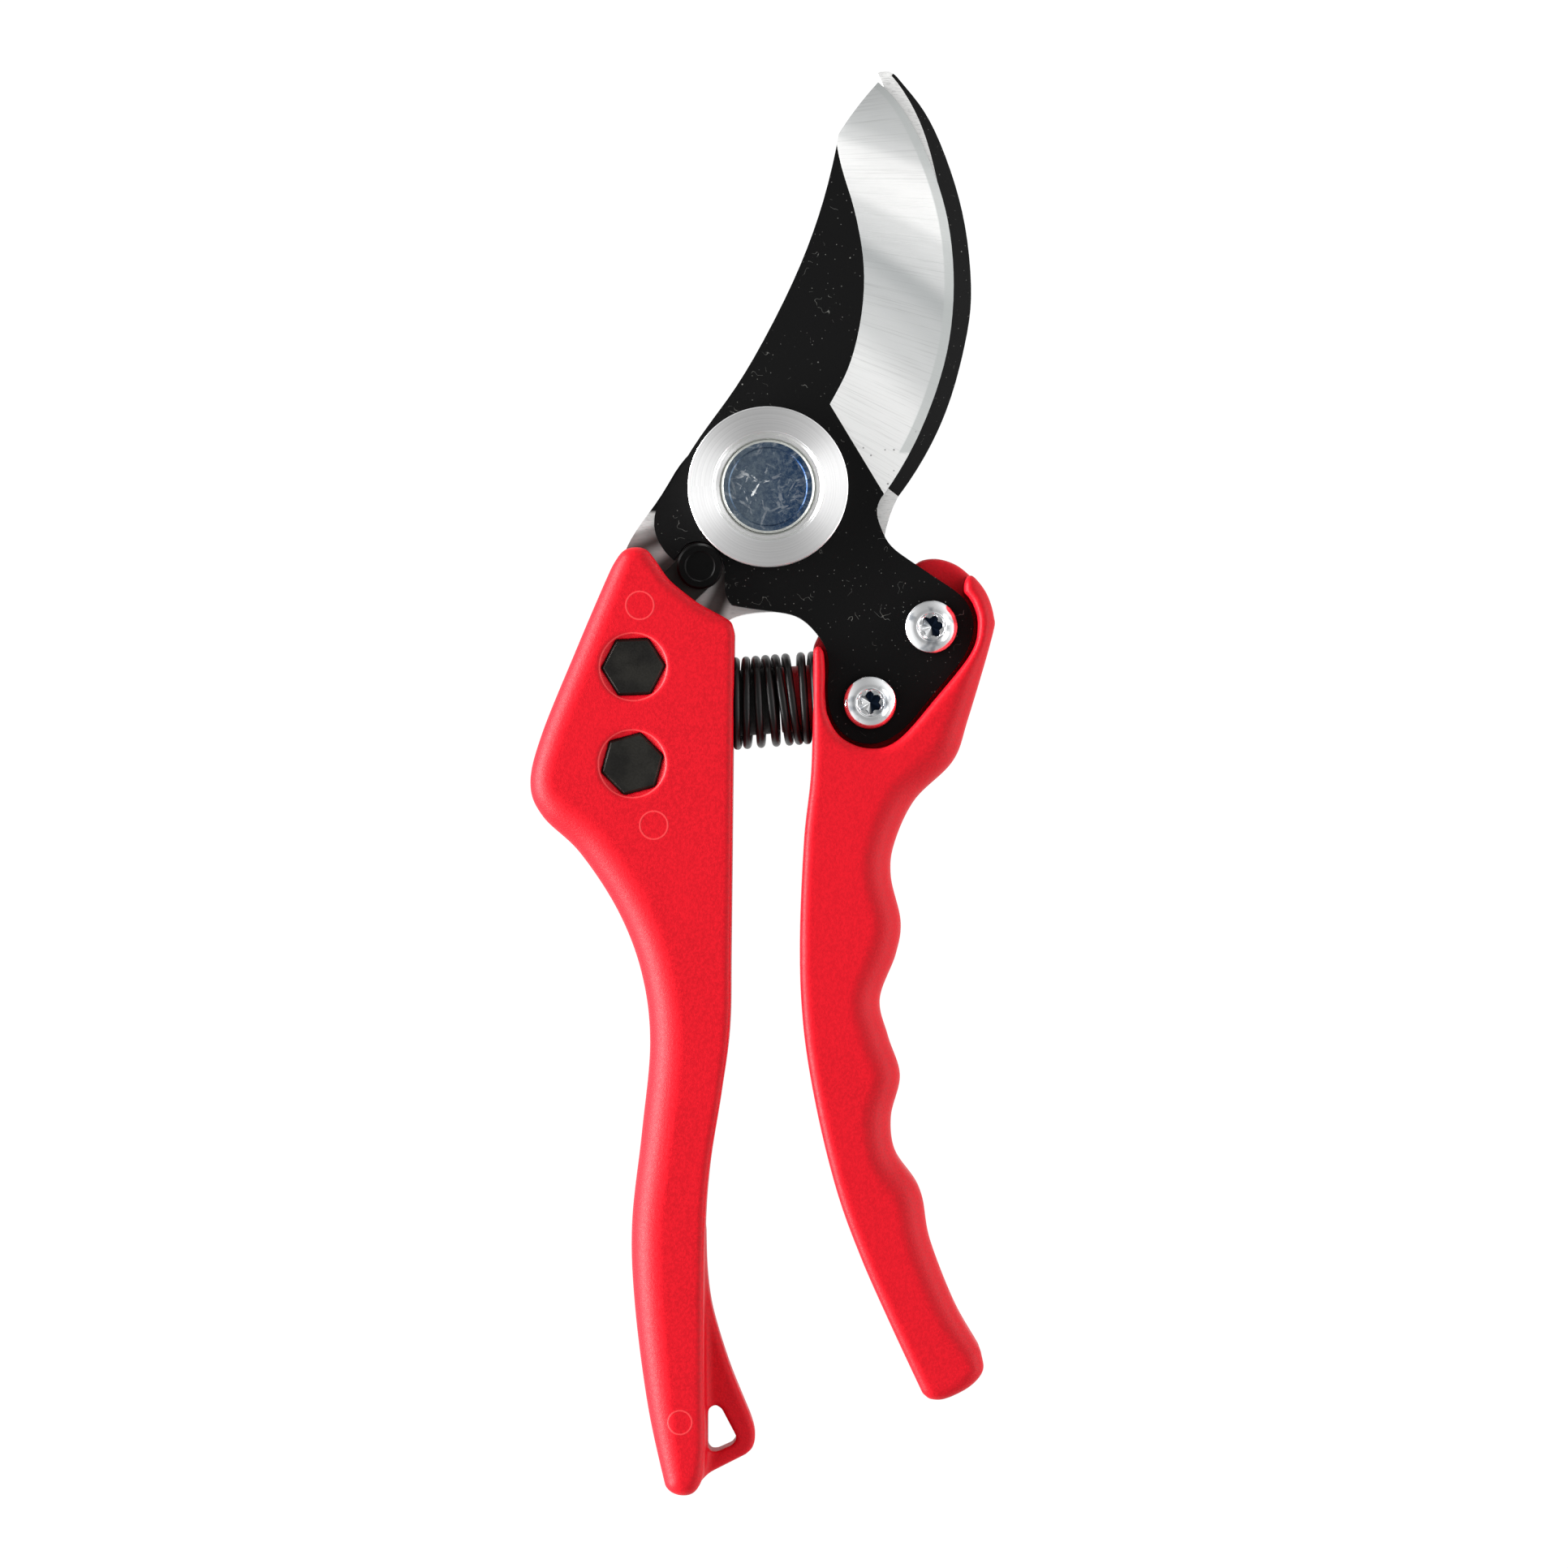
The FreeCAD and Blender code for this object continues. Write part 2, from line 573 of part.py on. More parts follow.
def make_catch(build):
    """Lever in front of the tang, its button in the blade's notch, and the pin and washer it turns on."""
    lever = new_body(build, "catch_lever")
    sketch = new_sketch(lever, "catch_lever_outline", BLADE_BASE)
    lever_outline(build, sketch)
    pad(lever, sketch, "catch_lever_plate", "<blade_thick>")
    hole = new_sketch(lever, "catch_lever_holes", BLADE_BASE)
    circle(build, hole, CATCH_PIVOT_X, CATCH_PIVOT_Y, "<catch_pin_r> + 0.05")
    circle(build, hole, "<catch_x>", "<catch_y>", "1.2")
    pocket(build, lever, hole, "catch_lever_bores", "<blade_thick>")
    build.keep(lever, "catch_lever")

    top = BLADE_TOP
    crown = top + " + <catch_button_height>"
    button = turned(build, "catch_button", [
        ("0", BLADE_BASE), ("1.2", BLADE_BASE), ("1.2", top), ("<catch_button_r>", top),
        ("<catch_button_r>", crown + " - 0.35"), ("<catch_button_r> - 0.3", crown),
        ("<catch_button_r> - 1.1", crown), ("<catch_button_r> - 1.3", crown + " - 0.15"),
        ("0", crown + " - 0.15")], "<catch_x>", "<catch_y>")
    build.keep(button, "catch_button")

    pin = turned(build, "catch_pin", [
        ("0", "0.5"), ("<catch_pin_head_r>", "0.5"), ("<catch_pin_head_r>", "2.0"), ("<catch_pin_r>", "2.0"),
        ("<catch_pin_r>", "<catch_pin_top>"), ("0", "<catch_pin_top>")], CATCH_PIVOT_X, CATCH_PIVOT_Y)
    build.keep(pin, "catch_pin")
    washer = turned(build, "catch_washer", [
        ("<catch_pin_r>", top + " + 0.1"), ("<catch_hub_r> - 0.2", top + " + 0.1"),
        ("<catch_hub_r> - 0.2", LEVER_ROOM_TOP), ("<catch_pin_r>", LEVER_ROOM_TOP)],
        CATCH_PIVOT_X, CATCH_PIVOT_Y)
    build.keep(washer, "catch_washer")


def lever_outline(build, sketch):
    """Round hub and round head joined by straight sides."""
    px = evaluate(build, CATCH_PIVOT_X)
    py = evaluate(build, CATCH_PIVOT_Y)
    along = math.radians(build.value("catch_angle") - 180)
    length = build.value("catch_arm")
    half = build.value("catch_width") / 2

    def point(forward, side):
        return V(px + forward * math.cos(along) - side * math.sin(along),
                 py + forward * math.sin(along) + side * math.cos(along), 0)

    sketch.addGeometry(Part.LineSegment(point(0, half), point(length, half)))
    sketch.addGeometry(Part.Arc(point(length, half), point(length + half, 0), point(length, -half)))
    sketch.addGeometry(Part.LineSegment(point(length, -half), point(0, -half)))
    sketch.addGeometry(Part.Arc(point(0, -half), point(-half, 0), point(0, half)))


# ---------------------------------------------------------------- handles

def make_left_handle(build, counter_blade):
    """The fixed grip: a moulding around the tang, with room for the catch and a loop for a lanyard."""
    body = new_body(build, "left_handle")
    sketch = new_sketch(body, "left_handle_outline")
    outline(sketch, LEFT_HANDLE)
    pad(body, sketch, "left_handle_block", "<handle_depth>")
    depth = build.value("handle_depth")
    fillet(build, body, "left_handle_round", "<grip_round>",
           lambda edge: level_edge(edge, 0) or level_edge(edge, depth))
    web = new_sketch(body, "tail_web_outline", "<web_base>")
    outline(web, TAIL_WEB)
    pad(body, web, "tail_web", "<web_thick>")
    build.doc.recompute()
    hole = new_sketch(body, "lanyard_hole_outline", "<web_base>")
    outline(hole, LANYARD_HOLE)
    pocket(build, body, hole, "lanyard_hole", "<web_thick>")
    bores = new_sketch(body, "left_handle_bores")
    for x, y, _turn in HANDLE_BOLTS.values():
        circle(build, bores, x, y, "<handle_bolt_r>")
    pocket(build, body, bores, "left_handle_bolt_holes", "<handle_depth>")
    bolt_seats(build, body)
    nuts = new_sketch(body, "left_handle_nut_pockets")
    for x, y, _turn in HANDLE_BOLTS.values():
        corners = hexagon("<handle_bolt_af>", HANDLE_NUT_TURN)
        polygon(build, nuts, [(x + " + " + cx, y + " + " + cy) for cx, cy in corners])
    pocket(build, body, nuts, "left_handle_nut_seats", "0.5 + <handle_nut_height>")
    pin_room(build, body)
    catch_room(build, body)
    seat = spring_cylinder(build, "left_spring_seat", "<spring_pocket_r>", "-<left_seat_reach>", "6")
    slotted = cut(build, body, counter_blade, "left_handle_slot")
    return build.keep(cut(build, slotted, seat, "left_handle"), "left_handle")


def bolt_seats(build, body):
    """Hexagonal seats for the bolt heads, each in a shallow round step."""
    base = "<handle_depth> - <handle_bolt_sunk> - <handle_bolt_head>"
    seats = new_sketch(body, "left_handle_head_seats", base)
    steps = new_sketch(body, "left_handle_head_steps", "<handle_depth> - <handle_bolt_sunk> - 0.2")
    for x, y, turn in HANDLE_BOLTS.values():
        corners = [(x + " + " + cx, y + " + " + cy) for cx, cy in hexagon("<handle_bolt_af>", turn)]
        polygon(build, seats, corners)
        circle(build, steps, x, y, "<counterbore_r>")
    pocket(build, body, seats, "left_handle_head_pockets", "<handle_bolt_head> + 1")
    pocket(build, body, steps, "left_handle_head_rims", "1")


def pin_room(build, body):
    """The stepped hole that the catch's pin is pressed into from the back."""
    head = new_sketch(body, "catch_pin_head_hole")
    circle(build, head, CATCH_PIVOT_X, CATCH_PIVOT_Y, "<catch_pin_head_r>")
    pocket(build, body, head, "catch_pin_head_seat", "2")
    shaft = new_sketch(body, "catch_pin_hole")
    circle(build, shaft, CATCH_PIVOT_X, CATCH_PIVOT_Y, "<catch_pin_r>")
    pocket(build, body, shaft, "catch_pin_bore", "<catch_pin_top>")


def catch_room(build, body):
    """The space under the front wall that the lever swings through, deeper where the button goes."""
    px = evaluate(build, CATCH_PIVOT_X)
    py = evaluate(build, CATCH_PIVOT_Y)
    reach = build.value("catch_arm") + build.value("catch_button_r") + 0.4
    near = build.value("catch_arm") - build.value("catch_button_r") - 0.5
    hub = build.value("catch_hub_r") + 0.3
    locked = build.value("catch_angle") - 180
    low = math.radians(locked - 64)
    high = math.radians(locked + 14)

    def around(r, angle):
        return V(px + r * math.cos(angle), py + r * math.sin(angle), 0)

    lever = new_sketch(body, "lever_room_outline", "<counter_base> + <counter_thick>")
    upper_start = around(hub, math.radians(locked + 90))
    lower_start = around(hub, math.radians(locked - 46 - 90))
    lever.addGeometry(Part.Arc(upper_start, around(hub, math.radians(locked + 158)), lower_start))
    lever.addGeometry(Part.LineSegment(lower_start, around(reach, low)))
    lever.addGeometry(Part.Arc(around(reach, low), around(reach, (low + high) / 2), around(reach, high)))
    lever.addGeometry(Part.LineSegment(around(reach, high), upper_start))
    pocket(build, body, lever, "lever_room", LEVER_ROOM_TOP + " - <counter_base> - <counter_thick>")

    button = new_sketch(body, "button_room_outline", "<counter_base> + <counter_thick>")
    button.addGeometry(Part.Arc(around(reach, low), around(reach, (low + high) / 2), around(reach, high)))
    button.addGeometry(Part.LineSegment(around(reach, high), around(near, high)))
    button.addGeometry(Part.Arc(around(near, high), around(near, (low + high) / 2), around(near, low)))
    button.addGeometry(Part.LineSegment(around(near, low), around(reach, low)))
    pocket(build, body, button, "button_room", "<catch_room_top> - <counter_base> - <counter_thick>")


def make_right_handle(build):
    """The moving grip with finger grooves, an open seat for the blade's arm and the spring's boss."""
    body = new_body(build, "right_handle")
    sketch = new_sketch(body, "right_handle_outline")
    outline(sketch, RIGHT_HANDLE)
    pad(body, sketch, "right_handle_block", "<handle_depth>")
    depth = build.value("handle_depth")
    fillet(build, body, "right_handle_round", "<grip_round>",
           lambda edge: level_edge(edge, 0) or level_edge(edge, depth))
    seat = new_sketch(body, "arm_seat_outline", BLADE_BASE)
    outline(seat, ARM_SEAT)
    pocket(build, body, seat, "arm_seat", "<handle_depth>")
    bores = new_sketch(body, "right_handle_bores")
    nuts = new_sketch(body, "right_handle_nut_pockets")
    for x, y in BLADE_SCREWS.values():
        circle(build, bores, x, y, "<blade_screw_r>")
        polygon(build, nuts, [(x + " + " + cx, y + " + " + cy) for cx, cy in hexagon("<blade_nut_af>")])
    pocket(build, body, bores, "right_handle_screw_holes", "<handle_depth>")
    pocket(build, body, nuts, "right_handle_nut_seats", "0.5 + <blade_nut_height>")
    hollow = spring_cylinder(build, "right_spring_seat", "<spring_pocket_r>", "<right_seat_reach> - 6", "6")
    boss = spring_cylinder(build, "stop_boss", "<stop_r>", "<stop_face>",
                           "<right_seat_reach> - <stop_face> + 0.3")
    bored = cut(build, body, hollow, "right_handle_seat")
    handle = build.doc.addObject("Part::Fuse", "right_handle_fuse")
    handle.Base = bored
    handle.Tool = boss
    build.doc.recompute()
    return build.keep(handle, "right_handle")


# ---------------------------------------------------------------- spring and stop

def along_spring(build, item, start):
    """Stand an upright item on the spring's axis, at a distance from the spring's middle."""
    tilt = math.radians(build.value("spring_tilt"))
    axis = V(math.cos(tilt), math.sin(tilt), 0)
    item.Placement = FreeCAD.Placement(V(0, 0, 0), FreeCAD.Rotation(V(0, 0, 1), axis))
    item.setExpression("Placement.Base.x", cell("<spring_x> + (%s) * cos(<spring_tilt> * 1deg)" % start))
    item.setExpression("Placement.Base.y", cell("<spring_y> + (%s) * sin(<spring_tilt> * 1deg)" % start))
    item.setExpression("Placement.Base.z", cell("<handle_depth> / 2"))


def spring_cylinder(build, name, radius, start, length):
    """A cylinder on the spring's axis."""
    item = build.doc.addObject("Part::Cylinder", name)
    item.setExpression("Radius", cell(radius))
    item.setExpression("Height", cell(length))
    along_spring(build, item, start)
    build.doc.recompute()
    return item


def make_spring(build):
    """The opening spring, a compressed coil of round wire."""
    helix = build.doc.addObject("Part::Helix", "spring_line")
    helix.setExpression("Radius", cell("<spring_r>"))
    helix.setExpression("Pitch", cell("<spring_pitch>"))
    ends = " - 2 * (<spring_end_gap> + <spring_wire_r>)"
    helix.setExpression("Height", cell("<left_seat_reach> + <right_seat_reach>" + ends))
    wire = build.doc.addObject("Part::Circle", "spring_section")
    wire.setExpression("Radius", cell("<spring_wire_r>"))
    wire.setExpression("Placement.Base.x", cell("<spring_r>"))
    wire.Placement.Rotation = FreeCAD.Rotation(V(1, 0, 0), 90)
    build.doc.recompute()
    coil = build.doc.addObject("Part::Sweep", "spring_coil")
    coil.Sections = [wire]
    coil.Spine = helix
    coil.Solid = True
    coil.Frenet = True
    along_spring(build, coil, "<spring_end_gap> + <spring_wire_r> - <left_seat_reach>")
    build.doc.recompute()
    return build.keep(coil, "spring")


def make_bumper(build):
    """The rubber stop inside the spring, its foot in the fixed handle."""
    length = "<stop_face> - <stop_gap> + <left_seat_reach>"
    body = turned(build, "spring_bumper", [
        ("0", "0"), ("<stop_r>", "0"), ("<stop_r>", length + " - 0.5"), ("<stop_r> - 0.5", length),
        ("0", length)])
    along_spring(build, body, "-<left_seat_reach>")
    build.doc.recompute()
    return build.keep(body, "spring_bumper")


# ---------------------------------------------------------------- output

def check(build):
    for item in build.doc.Objects:
        bad = [state for state in item.State if state in ("Invalid", "Error")]
        if bad:
            raise RuntimeError("%s is %s" % (item.Label, bad))
    for part in build.parts:
        if part.Shape.isNull() or not part.Shape.isValid():
            raise RuntimeError("%s has no valid shape" % part.Label)


def export(build):
    os.makedirs("parts", exist_ok=True)
    for part in build.parts:
        part.Shape.exportStep(os.path.join("parts", part.Label + ".step"))
        box = part.Shape.BoundBox
        print("%-20s solids %d volume %9.1f  x %.1f..%.1f y %.1f..%.1f z %.1f..%.1f" % (
            part.Label, len(part.Shape.Solids), part.Shape.Volume,
            box.XMin, box.XMax, box.YMin, box.YMax, box.ZMin, box.ZMax))


def main():
    build = Build()
    counter_blade = make_counter_blade(build)
    make_cutting_blade(build)
    make_pivot(build)
    make_left_handle(build, counter_blade)
    make_right_handle(build)
    for which, (x, y, turn) in HANDLE_BOLTS.items():
        make_hex_bolt(build, which + "_handle_bolt", x, y, turn)
        make_nut(build, which + "_handle_nut", x, y, "0.5", "<handle_nut_height>", "<handle_bolt_af>",
                 "<handle_bolt_r>", HANDLE_NUT_TURN)
    for which, (x, y) in BLADE_SCREWS.items():
        make_blade_screw(build, which + "_blade_screw", x, y)
        make_nut(build, which + "_blade_nut", x, y, "0.5", "<blade_nut_height>", "<blade_nut_af>",
                 "<blade_screw_r>", 0.0)
    make_catch(build)
    make_spring(build)
    make_bumper(build)
    build.doc.recompute()
    check(build)
    export(build)


main()
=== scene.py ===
"""Looks of the pruning shears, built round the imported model. Metres, +Z up, origin on the pivot axis."""
import math

import bpy
import bmesh
import numpy as np
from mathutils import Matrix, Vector


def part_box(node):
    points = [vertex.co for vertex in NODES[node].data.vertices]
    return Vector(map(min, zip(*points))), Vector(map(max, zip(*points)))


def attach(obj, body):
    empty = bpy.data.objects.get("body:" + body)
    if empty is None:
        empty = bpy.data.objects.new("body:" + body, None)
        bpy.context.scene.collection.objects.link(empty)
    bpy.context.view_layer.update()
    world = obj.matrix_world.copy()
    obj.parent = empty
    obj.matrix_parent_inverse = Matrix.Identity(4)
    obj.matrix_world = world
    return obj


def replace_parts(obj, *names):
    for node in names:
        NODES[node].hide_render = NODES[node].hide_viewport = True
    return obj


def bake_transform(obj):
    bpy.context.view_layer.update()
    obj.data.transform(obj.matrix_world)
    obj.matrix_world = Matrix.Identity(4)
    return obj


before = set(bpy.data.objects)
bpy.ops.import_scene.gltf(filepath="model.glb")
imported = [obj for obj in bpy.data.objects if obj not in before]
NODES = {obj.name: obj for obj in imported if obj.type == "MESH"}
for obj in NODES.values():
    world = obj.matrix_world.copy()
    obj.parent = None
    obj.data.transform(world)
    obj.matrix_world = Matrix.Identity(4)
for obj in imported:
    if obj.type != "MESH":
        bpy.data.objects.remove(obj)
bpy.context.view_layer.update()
MM = 0.001

HANDLE_BACK, HANDLE_FRONT = (corner.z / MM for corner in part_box("left_handle"))
HANDLE_MIDDLE = (HANDLE_BACK + HANDLE_FRONT) / 2
BLADE_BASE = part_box("cutting_blade")[0].z / MM
BLADE_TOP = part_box("cutting_blade")[1].z / MM


# ---------------------------------------------------------------- node materials

class Shader:
    """A small helper that adds nodes to one procedural material."""

    def __init__(self, name):
        self.material = bpy.data.materials.new(name)
        self.material.use_nodes = True
        self.nodes = self.material.node_tree.nodes
        self.links = self.material.node_tree.links
        self.bsdf = self.nodes["Principled BSDF"]
        self.point = self.add("ShaderNodeTexCoord").outputs["Object"]

    def add(self, kind, **settings):
        node = self.nodes.new(kind)
        for key, value in settings.items():
            setattr(node, key, value)
        return node

    def put(self, socket, value):
        if isinstance(value, bpy.types.NodeSocket):
            self.links.new(value, socket)
        else:
            socket.default_value = value

    def set(self, **values):
        for key, value in values.items():
            self.put(self.bsdf.inputs[key.replace("_", " ")], value)

    def math(self, operation, a, b=0.0, c=0.0, clamp=False):
        node = self.add("ShaderNodeMath", operation=operation, use_clamp=clamp)
        for socket, value in zip(node.inputs, (a, b, c)):
            self.put(socket, value)
        return node.outputs[0]

    def ramp(self, value, low, high, out_low=0.0, out_high=1.0, smooth=True):
        node = self.add("ShaderNodeMapRange")
        node.interpolation_type = "SMOOTHSTEP" if smooth else "LINEAR"
        for socket, item in zip(node.inputs, (value, low, high, out_low, out_high)):
            self.put(socket, item)
        return node.outputs[0]

    def noise(self, scale, detail=2.0, rough=0.5, vector=None):
        """Noise whose scale is in cycles for each millimetre."""
        node = self.add("ShaderNodeTexNoise")
        self.put(node.inputs["Vector"], vector or self.point)
        self.put(node.inputs["Scale"], scale / MM if vector is None else scale)
        self.put(node.inputs["Detail"], detail)
        self.put(node.inputs["Roughness"], rough)
        return node.outputs["Fac"]

    def cells(self, scale, vector=None, feature="F1"):
        node = self.add("ShaderNodeTexVoronoi", feature=feature)
        self.put(node.inputs["Vector"], vector or self.point)
        self.put(node.inputs["Scale"], scale / MM if vector is None else scale)
        return node.outputs["Distance"]

    def mix(self, fac, a, b):
        node = self.add("ShaderNodeMix", data_type="RGBA")
        self.put(node.inputs["Factor"], fac)
        self.put(node.inputs[6], a)
        self.put(node.inputs[7], b)
        return node.outputs[2]

    def blend(self, fac, a, b):
        node = self.add("ShaderNodeMix", data_type="FLOAT")
        self.put(node.inputs["Factor"], fac)
        self.put(node.inputs[2], a)
        self.put(node.inputs[3], b)
        return node.outputs[0]

    def curve(self, value, stops):
        """A grey level that follows given stops, each a value and its level, in rising order."""
        low, high = stops[0][0], stops[-1][0]
        node = self.add("ShaderNodeValToRGB")
        node.color_ramp.interpolation = "EASE"
        elements = node.color_ramp.elements
        elements[0].color = (stops[0][1],) * 3 + (1.0,)
        elements[1].color = (stops[-1][1],) * 3 + (1.0,)
        for place, level in stops[1:-1]:
            elements.new((place - low) / (high - low)).color = (level, level, level, 1.0)
        self.put(node.inputs[0], self.ramp(value, low, high, smooth=False))
        return node.outputs[0]

    def split(self, vector=None):
        node = self.add("ShaderNodeSeparateXYZ")
        self.put(node.inputs[0], vector or self.point)
        return node.outputs

    def join(self, x, y, z):
        node = self.add("ShaderNodeCombineXYZ")
        for socket, value in zip(node.inputs, (x, y, z)):
            self.put(socket, value)
        return node.outputs[0]

    def radius_from(self, x, y):
        """Distance in millimetres from an upright axis."""
        px, py, _pz = self.split()
        dx = self.math("SUBTRACT", self.math("DIVIDE", px, MM), x)
        dy = self.math("SUBTRACT", self.math("DIVIDE", py, MM), y)
        return self.math("SQRT", self.math("ADD", self.math("MULTIPLY", dx, dx), self.math("MULTIPLY", dy, dy)))

    def angle_round(self, x, y):
        px, py, _pz = self.split()
        dx = self.math("SUBTRACT", self.math("DIVIDE", px, MM), x)
        dy = self.math("SUBTRACT", self.math("DIVIDE", py, MM), y)
        return self.math("ARCTAN2", dy, dx)

    def bump(self, height, distance, strength=1.0, normal=None):
        """Bump whose height runs over a distance given in millimetres."""
        node = self.add("ShaderNodeBump")
        self.put(node.inputs["Height"], height)
        self.put(node.inputs["Distance"], distance * MM)
        self.put(node.inputs["Strength"], strength)
        if normal is not None:
            self.put(node.inputs["Normal"], normal)
        return node.outputs["Normal"]


def rgb(red, green, blue):
    """A colour given as it looks on screen, turned into linear light."""
    return tuple(((c + 0.055) / 1.055) ** 2.4 if c > 0.04045 else c / 12.92 for c in (red, green, blue)) + (1.0,)


EJECTOR_MARKS = ((-18.35, -17.1, 2.0), (-16.35, -48.6, 2.0), (-12.6, -134.2, 1.7), (-19.3, -25.9, 4.85),
                 (-19.45, -39.8, 4.85))


def red_nylon():
    s = Shader("grained_nylon")
    grain = s.noise(2.6, 3.0, 0.6)
    fine = s.noise(7.0, 2.0, 0.6)
    broad = s.noise(0.05, 2.0)
    ejector_rings_and_painted_highlight = 0.0
    for x, y, r in EJECTOR_MARKS:
        off = s.math("ABSOLUTE", s.math("SUBTRACT", s.radius_from(x, y), r))
        ejector_rings_and_painted_highlight = s.math("ADD", ejector_rings_and_painted_highlight, s.ramp(off, 0.05, 0.16, 1.0, 0.0))
    z = s.split()[2]
    front = s.ramp(z, 14.0 * MM, 15.0 * MM)
    ejector_rings_and_painted_highlight = s.math("MULTIPLY", ejector_rings_and_painted_highlight, front, clamp=True)
    base = s.mix(s.ramp(broad, 0.35, 0.65), rgb(0.715, 0.012, 0.085), rgb(0.745, 0.015, 0.095))
    base = s.mix(s.ramp(grain, 0.38, 0.62), base, rgb(0.79, 0.018, 0.10))
    # pale pink flecks from the fine noise are painted glints of the grain
    base = s.mix(s.ramp(fine, 0.60, 0.8, 0.0, 0.35), base, rgb(0.86, 0.14, 0.18))
    # the rings are real relief from the bump; their pale pink colour is a painted highlight
    base = s.mix(s.math("MULTIPLY", ejector_rings_and_painted_highlight, 0.40), base, rgb(0.98, 0.36, 0.36))
    height = s.math("ADD", grain, s.math("MULTIPLY", fine, 0.4))
    normal = s.bump(height, 0.055, 0.8)
    normal = s.bump(ejector_rings_and_painted_highlight, 0.03, 0.8, normal)
    s.set(Base_Color=base, Roughness=s.ramp(grain, 0.3, 0.7, 0.44, 0.54), Normal=normal,
          IOR=1.5, Specular_IOR_Level=0.19)
    return s.material


def ground_steel(s, coordinates, level, dark=rgb(0.52, 0.54, 0.545)):
    """Colour, roughness and height of ground steel; the level runs from the dark to the bright end of the painted
    reflection bands.
    """
    lines = s.noise(1.0, 4.0, 0.7, vector=coordinates)
    color = s.mix(level, dark, rgb(0.985, 0.985, 0.98))
    color = s.mix(s.ramp(lines, 0.30, 0.52, 0.28, 0.0), color, rgb(0.40, 0.40, 0.40))
    rough = s.ramp(lines, 0.3, 0.7, 0.34, 0.46)
    return color, rough, lines


GRIND_CENTRE = (-52.0, 44.0)
# Painted reflections: bright and dark bands on the ground bevel, given by angle round GRIND_CENTRE, stand in for the
# room reflected in the brushed steel.
PAINTED_GRIND_REFLECTIONS = ((-36, 0.75), (-28, 0.80), (-22.5, 0.80), (-17, 0.50), (-13, 0.38), (-10.2, 0.25), (-7.8, 0.50),
               (-5, 0.60), (-3, 0.85), (0, 0.92), (2, 0.85), (4, 0.55), (6, 0.42), (10, 0.40), (14, 0.42))


def dust(s):
    """Scattered specks of several sizes and a few fine hairs."""
    coarse = s.math("MULTIPLY", s.ramp(s.cells(0.45), 0.03, 0.065, 1.0, 0.0), s.ramp(s.noise(0.3, 3.0, 0.8), 0.42, 0.52))
    small = s.math("MULTIPLY", s.ramp(s.cells(1.3), 0.06, 0.12, 1.0, 0.0), s.ramp(s.noise(0.5, 3.0, 0.8), 0.42, 0.56, 0.0, 0.7))
    strand = s.ramp(s.math("ABSOLUTE", s.math("SUBTRACT", s.noise(0.55, 1.0, 0.4), 0.5)), 0.002, 0.006, 0.55, 0.0)
    hairs = s.math("MULTIPLY", strand, s.ramp(s.noise(0.4, 1.0), 0.63, 0.66))
    return s.math("MAXIMUM", s.math("MAXIMUM", coarse, small), hairs)


def blade_material():
    """Dark coat on the faces that lie flat and ground steel on the faces that slope, its brightness set by painted
    reflection bands.
    """
    s = Shader("blade_steel")
    normal_z = s.split(s.add("ShaderNodeTexCoord").outputs["Normal"])[2]
    z = s.split()[2]
    y = s.split()[1]
    radius = s.radius_from(*GRIND_CENTRE)
    angle = s.angle_round(*GRIND_CENTRE)
    across = s.join(s.math("MULTIPLY", angle, 260.0), s.math("MULTIPLY", radius, 0.05), 0.0)
    lean = s.math("MULTIPLY", s.math("SUBTRACT", radius, 71.0), 0.33)
    band = s.math("ADD", s.math("DEGREES", angle), lean)
    # painted reflection bands: steel brightness by angle round the grind centre
    level = s.curve(band, PAINTED_GRIND_REFLECTIONS)
    steel, rough, lines = ground_steel(s, across, level)
    sloped = s.math("MULTIPLY", s.ramp(normal_z, 0.992, 0.996, 1.0, 0.0), s.ramp(normal_z, 0.3, 0.4))
    sloped = s.math("MULTIPLY", sloped, s.ramp(y, -3.0 * MM, -1.5 * MM))
    strip = s.ramp(z, (BLADE_BASE + 0.50) * MM, (BLADE_BASE + 0.56) * MM, 1.0, 0.0)
    strip = s.math("MULTIPLY", strip, s.ramp(y, 4.9 * MM, 5.4 * MM))
    steel = s.mix(s.math("MULTIPLY", strip, 0.7), steel, rgb(0.71, 0.725, 0.72))
    grain = s.noise(5.0, 3.0, 0.7)
    coat = s.mix(s.math("MULTIPLY", dust(s), 0.55), rgb(0.030, 0.030, 0.031), rgb(0.62, 0.62, 0.60))
    heel = s.ramp(y, 3.0 * MM, 14.0 * MM, 0.70, 0.36)
    pits = s.math("MULTIPLY", s.ramp(s.cells(0.8), 0.08, 0.15, 1.0, 0.0),
                  s.ramp(s.math("ADD", s.noise(0.35, 4.0, 0.8), s.math("SUBTRACT", heel, 0.5)), 0.55, 0.65))
    steel = s.mix(s.math("MULTIPLY", pits, 0.7), steel, rgb(0.25, 0.25, 0.25))
    height = s.blend(sloped, s.math("MULTIPLY", grain, 1.0), s.math("MULTIPLY", lines, 0.7))
    s.set(Base_Color=s.mix(sloped, coat, steel), Metallic=sloped,
          Roughness=s.blend(sloped, s.ramp(grain, 0.3, 0.7, 0.46, 0.62), rough),
          Normal=s.bump(height, 0.012, 0.6), Specular_IOR_Level=0.10)
    return s.material


# Painted reflections: light and dark bands on the bare tang, given by angle round the pivot, with a reddish dark end
# like the grip reflected in the steel.
PAINTED_TANG_REFLECTIONS = ((-164, 0.95), (-160, 0.35), (-155, 0.05), (-149, 0.7), (-144, 0.10), (-135, 0.05), (-127, 0.15),
              (-121, 0.65), (-116, 0.08), (-112, 0.05), (-107, 0.9))


